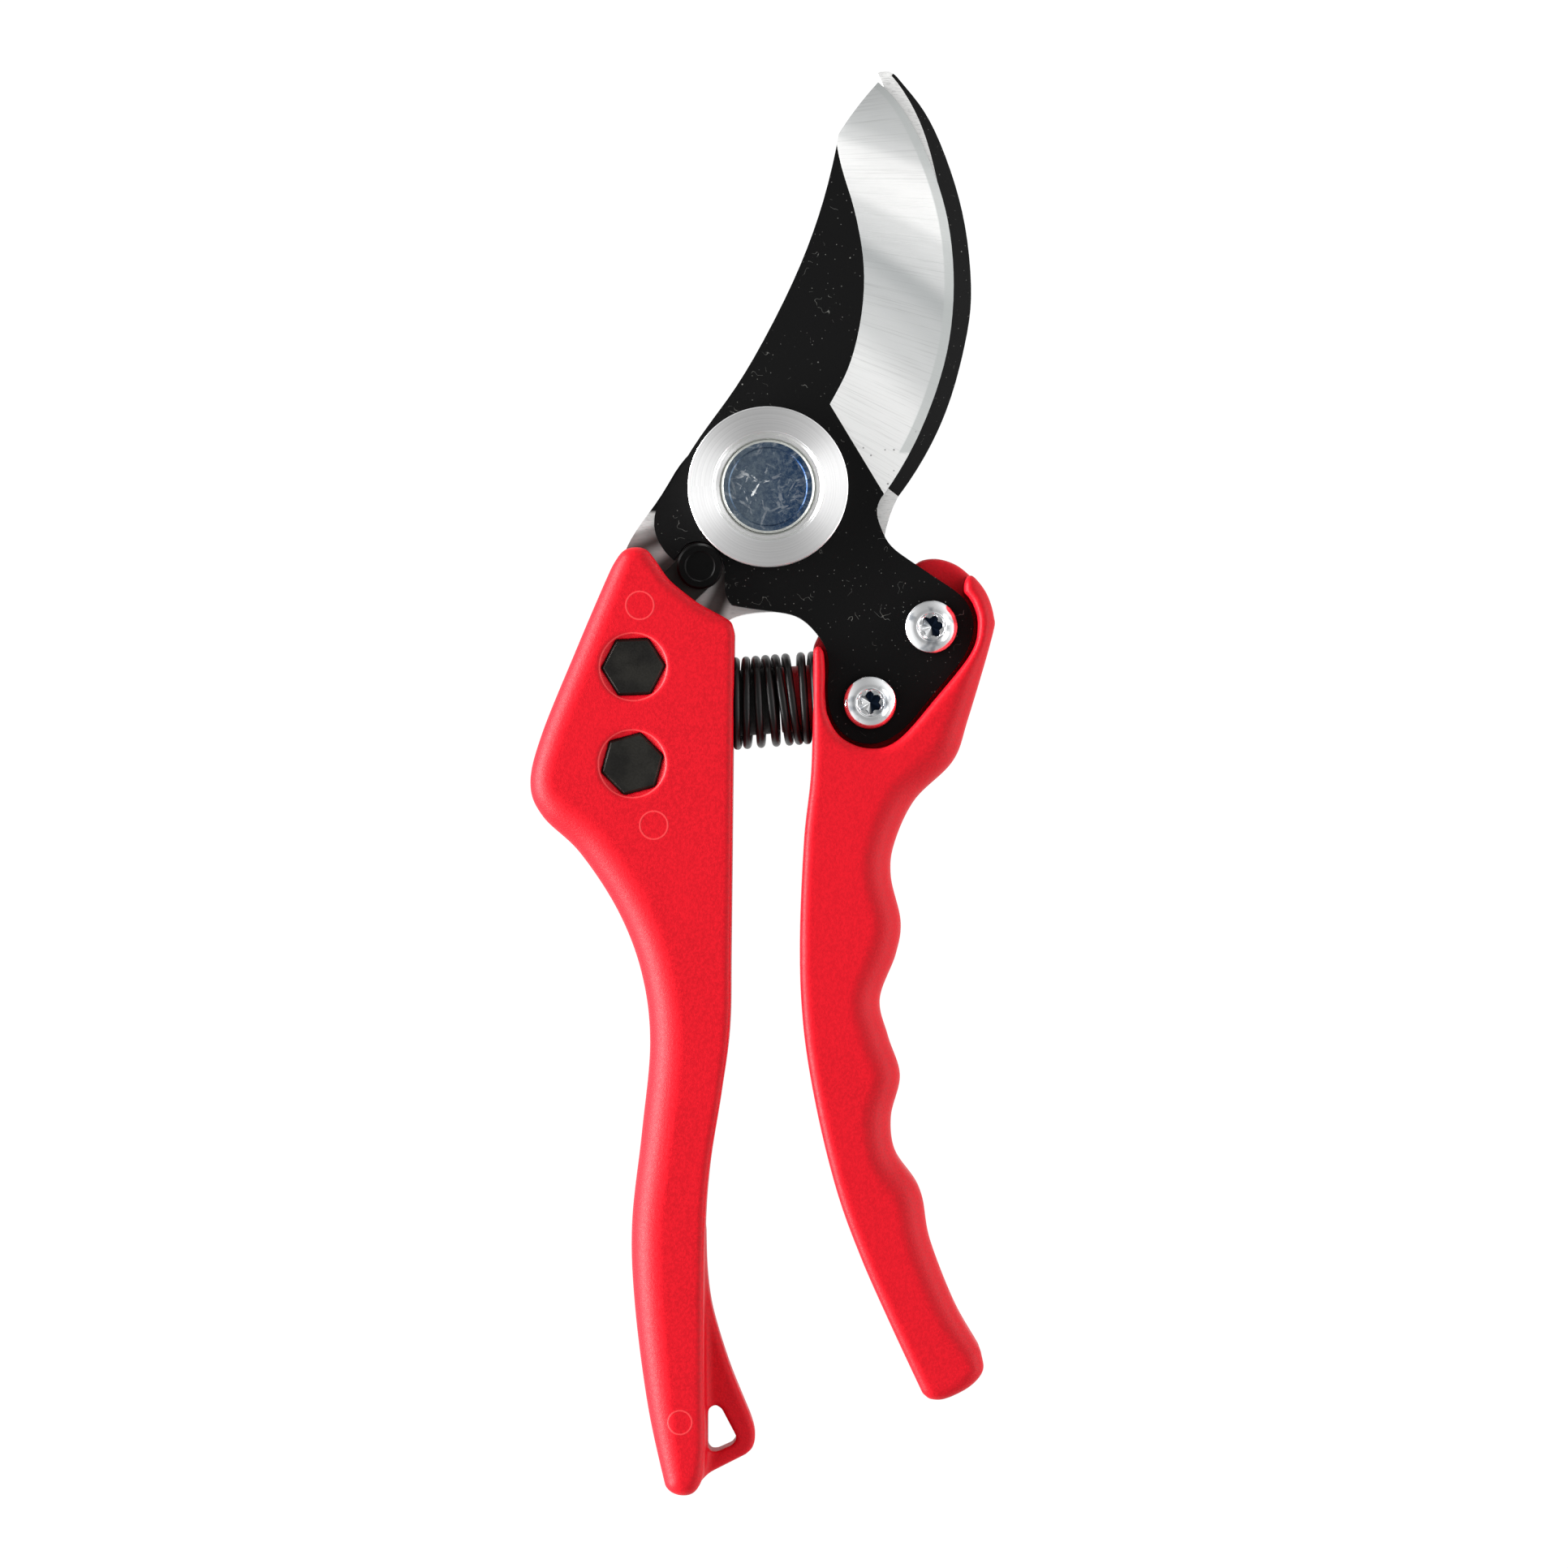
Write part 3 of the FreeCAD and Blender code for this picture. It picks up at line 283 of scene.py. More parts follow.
def counter_material():
    """Bright ground face, a tang with painted reflection bands, and a dark coat on the hook's sloping rim and the
    shoulder.
    """
    s = Shader("counter_steel")
    normal_z = s.split(s.add("ShaderNodeTexCoord").outputs["Normal"])[2]
    x, y, _z = s.split()
    rim = s.math("MULTIPLY", s.ramp(normal_z, 0.985, 0.995, 1.0, 0.0), s.ramp(x, 14.0 * MM, 16.0 * MM))
    shoulder = s.math("MULTIPLY", s.ramp(y, -3.9 * MM, -3.1 * MM), s.ramp(x, -2.0 * MM, 0.0, 1.0, 0.0))
    walls = s.math("MULTIPLY", s.ramp(normal_z, 0.3, 0.5, 1.0, 0.0), s.ramp(y, -4.0 * MM, -3.0 * MM))
    point = s.math("MULTIPLY", s.ramp(y, 56.5 * MM, 57.0 * MM), s.ramp(x, 16.9 * MM, 17.3 * MM, 1.0, 0.0))
    hook = s.math("MULTIPLY", s.math("MAXIMUM", rim, walls), s.math("SUBTRACT", 1.0, point))
    coated = s.math("MAXIMUM", hook, shoulder)
    across = s.join(s.math("MULTIPLY", x, 900.0), s.math("MULTIPLY", y, 6000.0), 0.0)
    turn = s.math("DEGREES", s.angle_round(0.0, 0.0))
    # painted reflection bands on the tang, faded out towards the bright land on the right
    level = s.math("MAXIMUM", s.curve(turn, PAINTED_TANG_REFLECTIONS), s.ramp(x, 4.0 * MM, 8.0 * MM))
    steel, rough, lines = ground_steel(s, across, level, rgb(0.26, 0.20, 0.19))
    grain = s.noise(5.0, 3.0, 0.7)
    coat = s.mix(s.math("MULTIPLY", dust(s), 0.5), rgb(0.030, 0.030, 0.031), rgb(0.62, 0.62, 0.60))
    s.set(Base_Color=s.mix(coated, steel, coat), Metallic=s.math("SUBTRACT", 1.0, coated),
          Roughness=s.blend(coated, s.math("ADD", rough, 0.10), 0.55),
          Normal=s.bump(s.blend(coated, lines, grain), 0.012, 0.6), Specular_IOR_Level=0.10)
    return s.material


def turned_metal(name, centre, color, rough=0.25, rings=9.0, anisotropy=0.6):
    """Metal with the fine rings that a lathe leaves."""
    s = Shader(name)
    radius = s.radius_from(*centre)
    angle = s.angle_round(*centre)
    groove = s.noise(rings, 3.0, 0.7, vector=s.join(radius, s.math("MULTIPLY", angle, 0.02), 0.0))
    tangent = s.add("ShaderNodeTangent", direction_type="RADIAL", axis="Z").outputs[0]
    s.set(Base_Color=s.mix(s.ramp(groove, 0.35, 0.65), tuple(0.9 * c for c in color[:3]) + (1.0,), color),
          Metallic=1.0, Roughness=rough, Anisotropic=anisotropy, Anisotropic_Rotation=0.25, Tangent=tangent, Normal=s.bump(groove, 0.012, 0.5))
    return s.material


def blue_zinc():
    """Scratched zinc plate, blue with random tone and painted shade that makes it deeper and darker towards the right,
    and a bright turned rim.
    """
    s = Shader("blue_zinc")
    x, y, _z = s.split()
    wander = s.noise(0.22, 3.0, 0.6)
    # painted shade: darker, deeper blue towards the right, with random tone from the noise
    deep = s.math("ADD", s.ramp(x, -4.0 * MM, 5.0 * MM, 0.0, 0.75), s.math("SUBTRACT", wander, 0.5))
    scratches = 0.0
    for turn, scale in ((0.3, 1.6), (1.1, 1.9), (1.9, 1.5), (2.6, 1.8)):
        along = s.math("ADD", s.math("MULTIPLY", x, math.cos(turn)), s.math("MULTIPLY", y, math.sin(turn)))
        side = s.math("SUBTRACT", s.math("MULTIPLY", y, math.cos(turn)), s.math("MULTIPLY", x, math.sin(turn)))
        vector = s.join(s.math("MULTIPLY", along, scale * 170.0), s.math("MULTIPLY", side, scale * 620.0), turn)
        scratches = s.math("MAXIMUM", scratches, s.ramp(s.noise(1.0, 3.0, 0.7, vector=vector), 0.60, 0.66))
    dented = s.ramp(s.radius_from(-1.9, 0.0), 0.8, 3.4, 1.0, 0.25)
    scratches = s.math("MULTIPLY", scratches, s.math("MULTIPLY", dented, s.ramp(s.noise(0.4, 3.0, 0.7), 0.38, 0.58, 0.3, 1.0)))
    haze = s.ramp(s.noise(1.5, 4.0, 0.8), 0.40, 0.66, 0.0, 0.4)
    blue = s.mix(s.math("MAXIMUM", deep, 0.0, clamp=True), rgb(0.41, 0.47, 0.535), rgb(0.07, 0.25, 0.43))
    blue = s.mix(haze, blue, rgb(0.62, 0.68, 0.72))
    rim = s.ramp(s.radius_from(0.0, 0.0), 6.33, 6.42)
    color = s.mix(scratches, blue, rgb(0.95, 0.96, 0.96))
    color = s.mix(rim, color, rgb(0.93, 0.94, 0.92))
    s.set(Base_Color=color, Metallic=1.0, Roughness=s.blend(scratches, 0.30, 0.55),
          Normal=s.bump(s.math("ADD", scratches, haze), 0.02, 0.7))
    return s.material


def plated(name, color, rough):
    s = Shader(name)
    cloud = s.noise(0.8, 3.0, 0.6)
    fine = s.noise(6.0, 3.0, 0.6)
    s.set(Base_Color=color, Metallic=1.0, Roughness=s.ramp(cloud, 0.3, 0.7, rough * 0.75, rough * 1.25),
          Normal=s.bump(fine, 0.004, 0.4))
    return s.material


def screw_chrome(name, centre, top):
    """Bright plate with painted dark reflection patches, and painted shade in the recess that deepens with depth and
    forms a painted dark reflection on one side.
    """
    s = Shader(name)
    z = s.split()[2]
    # painted dark reflections on the dome, in random patches
    painted_reflection_patches = s.ramp(s.noise(0.45, 2.0, 0.5), 0.52, 0.70, 0.0, 0.75)
    color = s.mix(painted_reflection_patches, rgb(0.98, 0.985, 0.99), rgb(0.50, 0.53, 0.57))
    # painted shade deeper in the recess, and a painted dark reflection on one side of it
    deep = s.ramp(z, (top - 1.05) * MM, (top - 0.45) * MM, 1.0, 0.0)
    side = s.ramp(s.math("COSINE", s.math("SUBTRACT", s.angle_round(*centre), 0.4)), -0.75, -0.15, 0.25, 1.0)
    color = s.mix(s.math("MULTIPLY", deep, side), color, rgb(0.07, 0.10, 0.15))
    s.set(Base_Color=color, Metallic=1.0, Roughness=0.15, Normal=s.bump(s.noise(6.0, 3.0, 0.6), 0.003, 0.4))
    return s.material


def black_oxide(centre=None):
    """Dark oxide on steel; a turned piece shows faint rings."""
    s = Shader("black_oxide" if centre is None else "black_oxide_turned")
    cloud = s.noise(0.25, 2.0, 0.5)
    fine = s.noise(4.0, 3.0, 0.65)
    color = s.mix(s.ramp(cloud, 0.35, 0.65), rgb(0.085, 0.08, 0.07), rgb(0.145, 0.14, 0.125))
    height = fine
    if centre is not None:
        color = rgb(0.05, 0.05, 0.05)
        height = s.noise(5.0, 2.0, 0.6, vector=s.join(s.radius_from(*centre), 0.0, 0.0))
    s.set(Base_Color=color, Metallic=0.6, Roughness=s.ramp(fine, 0.3, 0.7, 0.34, 0.5), Normal=s.bump(height, 0.01, 0.4),
          Specular_IOR_Level=0.5 if centre is None else 0.15)
    return s.material


def dark_wire():
    s = Shader("dark_wire")
    fine = s.noise(3.0, 3.0, 0.6)
    s.set(Base_Color=rgb(0.06, 0.06, 0.062), Metallic=0.5, Roughness=s.ramp(fine, 0.3, 0.7, 0.30, 0.42),
          Normal=s.bump(fine, 0.01, 0.3))
    return s.material


def rubber():
    s = Shader("black_rubber")
    fine = s.noise(4.0, 3.0, 0.7)
    s.set(Base_Color=rgb(0.045, 0.045, 0.045), Roughness=s.ramp(fine, 0.3, 0.7, 0.55, 0.75), Normal=s.bump(fine, 0.03, 0.5))
    return s.material


def bronze():
    s = Shader("sintered_bronze")
    fine = s.noise(3.0, 3.0, 0.7)
    s.set(Base_Color=rgb(0.62, 0.46, 0.28), Metallic=1.0, Roughness=s.ramp(fine, 0.3, 0.7, 0.35, 0.55),
          Normal=s.bump(fine, 0.01, 0.5))
    return s.material


# ---------------------------------------------------------------- outlines of the grips, in millimetres

LEFT_GRIP = [
    # (x, y, rounding of the edge there)
    (-4.8, -21.0, 0.9), (-5.0, -38.0, 0.9), (-5.3, -66.0, 0.9), (-5.5, -77.8, 0.9), (-6.7, -87.2, 0.9),
    (-8.4, -98.0, 1.0), (-9.1, -108.0, 1.0), (-9.2, -124.0, 1.0), (-9.0, -138.0, 1.2), None,
    (-9.0, -138.0, 1.2), (-9.3, -142.0, 1.6), (-10.6, -144.4, 1.8), (-12.6, -144.85, 2.0), (-14.4, -144.0, 2.4),
    (-15.2, -141.8, 3.0), (-17.4, -131.6, 4.0), (-19.2, -117.6, 4.6), (-19.6, -106.0, 4.8), (-18.2, -93.0, 5.0),
    (-17.0, -80.0, 5.0), (-18.2, -70.0, 5.0), (-21.6, -61.0, 5.0), (-27.1, -52.6, 5.0), (-32.4, -47.4, 4.4),
    (-34.2, -42.7, 3.6), (-32.6, -35.7, 3.4), (-27.6, -23.4, 3.2), (-23.4, -13.6, 2.8), (-21.9, -10.6, 2.4),
    (-20.6, -9.1, 2.0), (-18.9, -8.7, 1.8), (-17.4, -9.1, 1.7), (-16.2, -10.5, 1.6), None,
    (-16.2, -10.5, 1.6), (-14.4, -13.1, 1.6), (-12.4, -14.9, 1.6), (-10.0, -16.7, 1.6), (-7.7, -18.0, 1.6), None,
    (-7.7, -18.0, 1.6), (-6.2, -18.8, 1.4), (-5.2, -19.6, 1.1), (-4.8, -21.0, 0.9),
]


def smooth_run(points, steps):
    """Catmull-Rom points along a run, with every number of the points carried."""
    points = np.array(points, float)
    padded = np.vstack([2 * points[0] - points[1], points, 2 * points[-1] - points[-2]])
    out = []
    for i in range(1, len(padded) - 2):
        p0, p1, p2, p3 = padded[i - 1:i + 3]
        for k in range(steps):
            t = k / steps
            out.append(0.5 * (2 * p1 + (p2 - p0) * t + (2 * p0 - 5 * p1 + 4 * p2 - p3) * t * t
                              + (3 * p1 - p0 - 3 * p2 + p3) * t ** 3))
    return out


def closed_outline(items, steps=14):
    """A closed outline from points; None parts two smooth runs that meet at a corner."""
    runs = [[]]
    for item in items:
        if item is None:
            runs.append([])
        else:
            runs[-1].append(item)
    out = []
    for run in runs:
        out += smooth_run(run, steps)
    return np.array(out)


def signed_distance(outline, xs, ys):
    """Distance to a closed outline on a grid, negative inside, and the rounding of the nearest edge."""
    gx, gy = np.meshgrid(xs, ys, indexing="ij")
    best = np.full(gx.shape, 1e9)
    extra = np.zeros(gx.shape)
    inside = np.zeros(gx.shape, bool)
    nxt = np.roll(outline, -1, axis=0)
    for a, b in zip(outline, nxt):
        dx, dy = b[0] - a[0], b[1] - a[1]
        length = dx * dx + dy * dy
        if length < 1e-12:
            continue
        t = np.clip(((gx - a[0]) * dx + (gy - a[1]) * dy) / length, 0, 1)
        d = (gx - a[0] - t * dx) ** 2 + (gy - a[1] - t * dy) ** 2
        nearer = d < best
        best = np.where(nearer, d, best)
        extra = np.where(nearer, a[2] + (b[2] - a[2]) * t, extra)
        crosses = (a[1] > gy) != (b[1] > gy)
        if crosses.any() and abs(dy) > 1e-12:
            inside ^= crosses & (gx < dx * (gy - a[1]) / dy + a[0])
    return np.sqrt(best) * np.where(inside, -1, 1), extra


def blur(grid, passes):
    for _ in range(passes):
        padded = np.pad(grid, 1, mode="edge")
        grid = (padded[:-2, 1:-1] + padded[2:, 1:-1] + padded[1:-1, :-2] + padded[1:-1, 2:] + 2 * grid) / 6
    return grid


def slab(d, rounding, zs, low, high):
    """A rounded slab: the outline's distance field between two heights."""
    middle, half = (low + high) / 2, (high - low) / 2
    a = d[:, :, None] + rounding[:, :, None]
    b = np.abs(zs - middle)[None, None, :] - half + rounding[:, :, None]
    return np.hypot(np.maximum(a, 0), np.maximum(b, 0)) + np.minimum(np.maximum(a, b), 0) - rounding[:, :, None]


def smooth_max(a, b, k):
    gap = np.maximum(k - np.abs(a - b), 0) / k
    return np.maximum(a, b) + gap * gap * k / 4


def smooth_min(a, b, k):
    return -smooth_max(-a, -b, k)


def surface(field, xs, ys, zs):
    """Quads on the zero level of a field: one point in each cell that the level crosses."""
    inside = field < 0
    shape = tuple(n - 1 for n in field.shape)
    total = np.zeros(shape + (3,))
    count = np.zeros(shape)
    corners = [(i, j, k) for i in (0, 1) for j in (0, 1) for k in (0, 1)]

    def part(array, corner):
        return array[tuple(slice(c, c + n) for c, n in zip(corner, shape))]

    for start in corners:
        for axis in range(3):
            if start[axis]:
                continue
            end = tuple(c + (1 if a == axis else 0) for a, c in enumerate(start))
            fa, fb = part(field, start), part(field, end)
            cross = (fa < 0) != (fb < 0)
            t = np.where(cross, fa / np.where(cross, fa - fb, 1), 0)
            for a in range(3):
                total[..., a] += np.where(cross, start[a] + (t if a == axis else 0), 0)
            count += cross
    active = count > 0
    index = np.full(shape, -1)
    index[active] = np.arange(active.sum())
    cells = np.argwhere(active)
    local = total[active] / count[active][:, None]
    grid = cells + local
    steps = np.array([xs[1] - xs[0], ys[1] - ys[0], zs[1] - zs[0]])
    points = np.array([xs[0], ys[0], zs[0]]) + grid * steps
    faces = []
    for axis in range(3):
        u, v = (axis + 1) % 3, (axis + 2) % 3
        lead = [slice(1, -1)] * 3
        lead[axis] = slice(0, -1)
        trail = list(lead)
        trail[axis] = slice(1, None)
        a, b = inside[tuple(lead)], inside[tuple(trail)]
        cross = np.argwhere(a != b)
        base = cross + 1
        base[:, axis] -= 1
        flip = a[tuple(cross.T)]

        def at(du, dv):
            cell = base.copy()
            cell[:, u] -= du
            cell[:, v] -= dv
            return index[tuple(cell.T)]

        quad = np.stack([at(1, 1), at(0, 1), at(0, 0), at(1, 0)], axis=1)
        quad[~flip] = quad[~flip][:, ::-1]
        faces.append(quad)
    return points, np.vstack(faces)


def sample(field, xs, ys, zs, points):
    """The field at points, by straight interpolation."""
    steps = np.array([xs[1] - xs[0], ys[1] - ys[0], zs[1] - zs[0]])
    g = (points - np.array([xs[0], ys[0], zs[0]])) / steps
    low = np.clip(np.floor(g).astype(int), 0, np.array(field.shape) - 2)
    f = g - low
    out = 0
    for i in (0, 1):
        for j in (0, 1):
            for k in (0, 1):
                weight = (f[:, 0] if i else 1 - f[:, 0]) * (f[:, 1] if j else 1 - f[:, 1]) * (f[:, 2] if k else 1 - f[:, 2])
                out = out + weight * field[low[:, 0] + i, low[:, 1] + j, low[:, 2] + k]
    return out


def mesh_piece(name, points, faces):
    mesh = bpy.data.meshes.new(name)
    mesh.from_pydata([tuple(p) for p in points], [], [tuple(int(i) for i in f) for f in faces])
    mesh.update()
    piece = bpy.data.objects.new(name, mesh)
    bpy.context.scene.collection.objects.link(piece)
    return piece


def field_piece(name, field, xs, ys, zs):
    points, faces = surface(field, xs, ys, zs)
    step = 0.5 * (xs[1] - xs[0])
    for _ in range(3):
        value = sample(field, xs, ys, zs, points)
        slope = np.stack([sample(field, xs, ys, zs, points + step * e) - sample(field, xs, ys, zs, points - step * e)
                          for e in np.eye(3)], axis=1) / (2 * step)
        size = np.maximum((slope ** 2).sum(1), 0.2)
        points = points - slope * (value / size)[:, None]
    piece = mesh_piece(name, points * MM, faces)
    piece.data.shade_smooth()
    return piece


TAIL_WEB = [
    (-13.0, -107.0, 0.8), (-9.6, -107.5, 0.8), None,
    (-9.6, -107.5, 0.8), (-9.0, -113.3, 0.8), (-7.8, -119.4, 0.8), (-5.5, -126.8, 0.8), (-2.5, -134.2, 0.8), None,
    (-2.5, -134.2, 0.8), (-2.0, -135.9, 0.8), (-1.9, -137.4, 0.8), (-2.3, -138.7, 0.8), (-3.2, -139.6, 0.8), None,
    (-3.2, -139.6, 0.8), (-12.7, -144.4, 0.8), None,
    (-12.7, -144.4, 0.8), (-13.0, -107.0, 0.8),
]
LANYARD_HOLE = [
    (-8.7, -134.0, 0.0), (-8.5, -133.0, 0.0), (-7.6, -132.5, 0.0), (-6.7, -133.0, 0.0), None,
    (-6.7, -133.0, 0.0), (-4.8, -136.6, 0.0), None,
    (-4.8, -136.6, 0.0), (-4.6, -137.3, 0.0), (-5.2, -138.2, 0.0), None,
    (-5.2, -138.2, 0.0), (-7.2, -139.1, 0.0), None,
    (-7.2, -139.1, 0.0), (-8.1, -139.1, 0.0), (-8.7, -138.5, 0.0), None,
    (-8.7, -138.5, 0.0), (-8.7, -134.0, 0.0),
]
RIGHT_GRIP = [
    (7.3, -21.2, 0.9), (14.6, -17.4, 0.9), (20.6, -11.4, 1.0), None,
    (20.6, -11.4, 1.0), (22.4, -10.3, 1.6), (25.0, -10.2, 1.9), (28.0, -11.5, 2.0), (31.1, -14.8, 2.0),
    (32.45, -18.6, 2.1), (32.2, -21.6, 2.3), (28.8, -33.3, 3.4), (26.6, -39.4, 4.0), (21.1, -45.0, 4.4),
    (18.2, -51.2, 4.4), (17.7, -56.0, 4.4), (19.1, -62.4, 4.2), (18.4, -67.2, 4.4), (16.1, -73.6, 4.4),
    (17.3, -79.0, 4.4), (19.0, -84.6, 4.2), (17.7, -90.6, 4.4), (18.4, -95.8, 4.4), (21.9, -101.2, 4.2),
    (23.3, -108.2, 4.0), (26.9, -117.6, 3.6), (30.6, -124.2, 2.8), None,
    (30.6, -124.2, 2.8), (30.9, -126.9, 2.2), (29.0, -129.2, 1.8), (25.6, -130.9, 1.6), (23.4, -131.0, 1.6),
    (22.2, -130.2, 1.6), None,
    (22.2, -130.2, 1.6), (17.4, -119.9, 1.5), (13.3, -110.6, 1.5), (9.9, -101.2, 1.5), (7.0, -89.5, 1.5),
    (5.1, -77.8, 1.5), (4.6, -66.0, 1.4), (5.2, -51.0, 1.3), (6.3, -40.0, 1.2), (6.5, -24.6, 1.1), None,
    (6.5, -24.6, 1.1), (6.6, -22.8, 1.0), (7.3, -21.2, 0.9),
]
ARM_SEAT = [
    (5.0, -22.6, 0.0), (7.4, -22.8, 0.0), None,
    (7.4, -22.8, 0.0), (8.0, -24.0, 0.0), (8.2, -27.0, 0.0), (8.3, -31.9, 0.0), (10.4, -35.9, 0.0),
    (14.6, -37.6, 0.0), (18.8, -36.3, 0.0), (24.1, -30.4, 0.0), (29.2, -23.9, 0.0), (30.2, -19.8, 0.0),
    (29.5, -16.8, 0.0), (28.2, -15.0, 0.0), None,
    (28.2, -15.0, 0.0), (28.4, -13.4, 0.0), (29.4, -10.0, 0.0), None,
    (29.4, -10.0, 0.0), (29.4, -4.0, 0.0), None,
    (29.4, -4.0, 0.0), (-2.0, -4.0, 0.0), None,
    (-2.0, -4.0, 0.0), (-2.0, -22.6, 0.0), None,
    (-2.0, -22.6, 0.0), (5.0, -22.6, 0.0),
]
HANDLE_BOLTS = ((-19.3, -25.9, 2.5), (-19.45, -39.8, 15.0))
BLADE_SCREWS = ((23.5, -20.1), (14.7, -31.0))
BOLT_FLATS = 8.0
SPRING_CENTRE = (0.7, -30.65)
SPRING_TURN = math.radians(4.5)
SPRING_R = 6.1
SPRING_WIRE = 0.6
CATCH_PIVOT = (-18.432, -19.736)
CATCH_LOCKED = 44.0


# ---------------------------------------------------------------- the two grips

class Block:
    """A field over a box, in millimetres, that is shaped by adding and taking away."""

    def __init__(self, low, high, step):
        self.xs, self.ys, self.zs = (np.arange(a, b + step, step) for a, b in zip(low, high))
        self.x, self.y, self.z = self.xs[:, None, None], self.ys[None, :, None], self.zs[None, None, :]
        self.field = None

    def outline(self, items, steps=12):
        return signed_distance(closed_outline(items, steps), self.xs, self.ys)

    def prism(self, items, low, high):
        """An upright prism over an outline, with sharp edges."""
        d, _rounding = self.outline(items)
        return np.maximum(d[:, :, None], np.abs(self.z - (low + high) / 2) - (high - low) / 2)

    def rod(self, centre, radius, low, high):
        d = np.hypot(self.x - centre[0], self.y - centre[1]) - radius
        return np.maximum(d, np.abs(self.z - (low + high) / 2) - (high - low) / 2)

    def hexagon(self, centre, flats, turn, low, high):
        d = -1e9
        for k in range(6):
            angle = math.radians(turn + 30 + 60 * k)
            d = np.maximum(d, (self.x - centre[0]) * math.cos(angle) + (self.y - centre[1]) * math.sin(angle) - flats / 2)
        return np.maximum(d, np.abs(self.z - (low + high) / 2) - (high - low) / 2)

    def spring_rod(self, radius, start, end):
        """A cylinder on the spring's axis, between two distances from the spring's middle."""
        dx, dy = self.x - SPRING_CENTRE[0], self.y - SPRING_CENTRE[1]
        along = dx * math.cos(SPRING_TURN) + dy * math.sin(SPRING_TURN)
        across = dy * math.cos(SPRING_TURN) - dx * math.sin(SPRING_TURN)
        d = np.hypot(across, self.z - HANDLE_MIDDLE) - radius
        return np.maximum(d, np.abs(along - (start + end) / 2) - (end - start) / 2)

    def add(self, shape, k=0.3):
        self.field = smooth_min(self.field, shape, k)

    def take(self, shape, k=0.25):
        self.field = smooth_max(self.field, -shape, k)

    def piece(self, name):
        return field_piece(name, self.field, self.xs, self.ys, self.zs)


def sector(block, near, reach, low, high, bottom, top):
    """Part of a ring round the catch's pivot, between two angles in degrees."""
    dx, dy = block.x - CATCH_PIVOT[0], block.y - CATCH_PIVOT[1]
    r = np.hypot(dx, dy)
    lower = dx * math.sin(math.radians(low)) - dy * math.cos(math.radians(low))
    upper = dy * math.cos(math.radians(high)) - dx * math.sin(math.radians(high))
    d = np.maximum(np.maximum(r - reach, near - r), np.maximum(lower, upper))
    return np.maximum(d, np.abs(block.z - (bottom + top) / 2) - (top - bottom) / 2)


def left_grip(nylon):
    block = Block((-35.6, -147.0, -0.9), (-0.6, -7.2, 16.9), GRID)
    d, rounding = block.outline(LEFT_GRIP)
    block.field = slab(d, blur(rounding, 6), block.zs, HANDLE_BACK, HANDLE_FRONT)
    web, web_round = block.outline(TAIL_WEB)
    block.add(slab(web, web_round, block.zs, 3.0, 9.0), 1.4)
    hole, _none = block.outline(LANYARD_HOLE)
    block.take(hole[:, :, None] + 0 * block.z, 0.5)
    block.take(block.spring_rod(6.9, -8.4, -2.0), 0.4)
    block.take(sector(block, 0.0, 15.7, CATCH_LOCKED - 64, CATCH_LOCKED + 14, 8.5, 12.2), 0.3)
    block.take(sector(block, 8.2, 15.7, CATCH_LOCKED - 64, CATCH_LOCKED + 14, 8.5, 13.6), 0.3)
    for x, y, turn in HANDLE_BOLTS:
        block.take(block.rod((x, y), 4.8, HANDLE_FRONT - 0.4, HANDLE_FRONT + 3), 0.12)
        block.take(block.hexagon((x, y), BOLT_FLATS + 0.08, turn, 12.3, HANDLE_FRONT + 3), 0.05)
        block.take(block.hexagon((x, y), BOLT_FLATS + 0.08, -8.0, -3.0, 4.5), 0.2)
    block.take(block.rod(CATCH_PIVOT, 1.9, -2.0, 2.0), 0.2)
    piece = block.piece("left_grip")
    piece.data.materials.append(nylon)
    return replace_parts(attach(piece, "fixed_half"), "left_handle")


def right_grip(nylon):
    block = Block((-0.4, -133.2, -0.9), (34.0, -8.4, 16.9), GRID)
    d, rounding = block.outline(RIGHT_GRIP)
    block.field = slab(d, blur(rounding, 6), block.zs, HANDLE_BACK, HANDLE_FRONT)
    seat, _none = block.outline(ARM_SEAT)
    floor = BLADE_BASE - block.z
    block.take(np.maximum(seat[:, :, None], floor), 1.3)
    for x, y in BLADE_SCREWS:
        block.take(block.hexagon((x, y), 7.08, 0.0, -3.0, 3.7), 0.2)
    block.take(block.spring_rod(6.9, 1.2, 7.2), 0.4)
    block.add(block.spring_rod(4.75, 0.95, 7.5), 0.3)
    piece = block.piece("right_grip")
    piece.data.materials.append(nylon)
    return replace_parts(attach(piece, "moving_half"), "right_handle")


# ---------------------------------------------------------------- spring

COIL_TOPS = (-7.4, -6.2, -4.7, -3.2, -1.8, -0.4, 1.0, 2.5, 4.7, 6.3)
COIL_BOTTOMS = (-7.0, -5.9, -4.4, -3.0, -1.0, 1.2, 3.1, 4.5, 5.7, 7.1)


def coil_line():
    """Half turn by half turn, how far along its axis the leaning wire has come."""
    lean = SPRING_R * math.sin(SPRING_TURN)
    knots = []
    for top, bottom in zip(COIL_TOPS, COIL_BOTTOMS):
        knots.append((top - SPRING_CENTRE[0] + lean) / math.cos(SPRING_TURN))
        knots.append((bottom - SPRING_CENTRE[0] - lean) / math.cos(SPRING_TURN))
    return smooth_run([(k,) for k in knots], COIL_STEPS)


COIL_STEPS = 30
WIRE_SIDES = 14


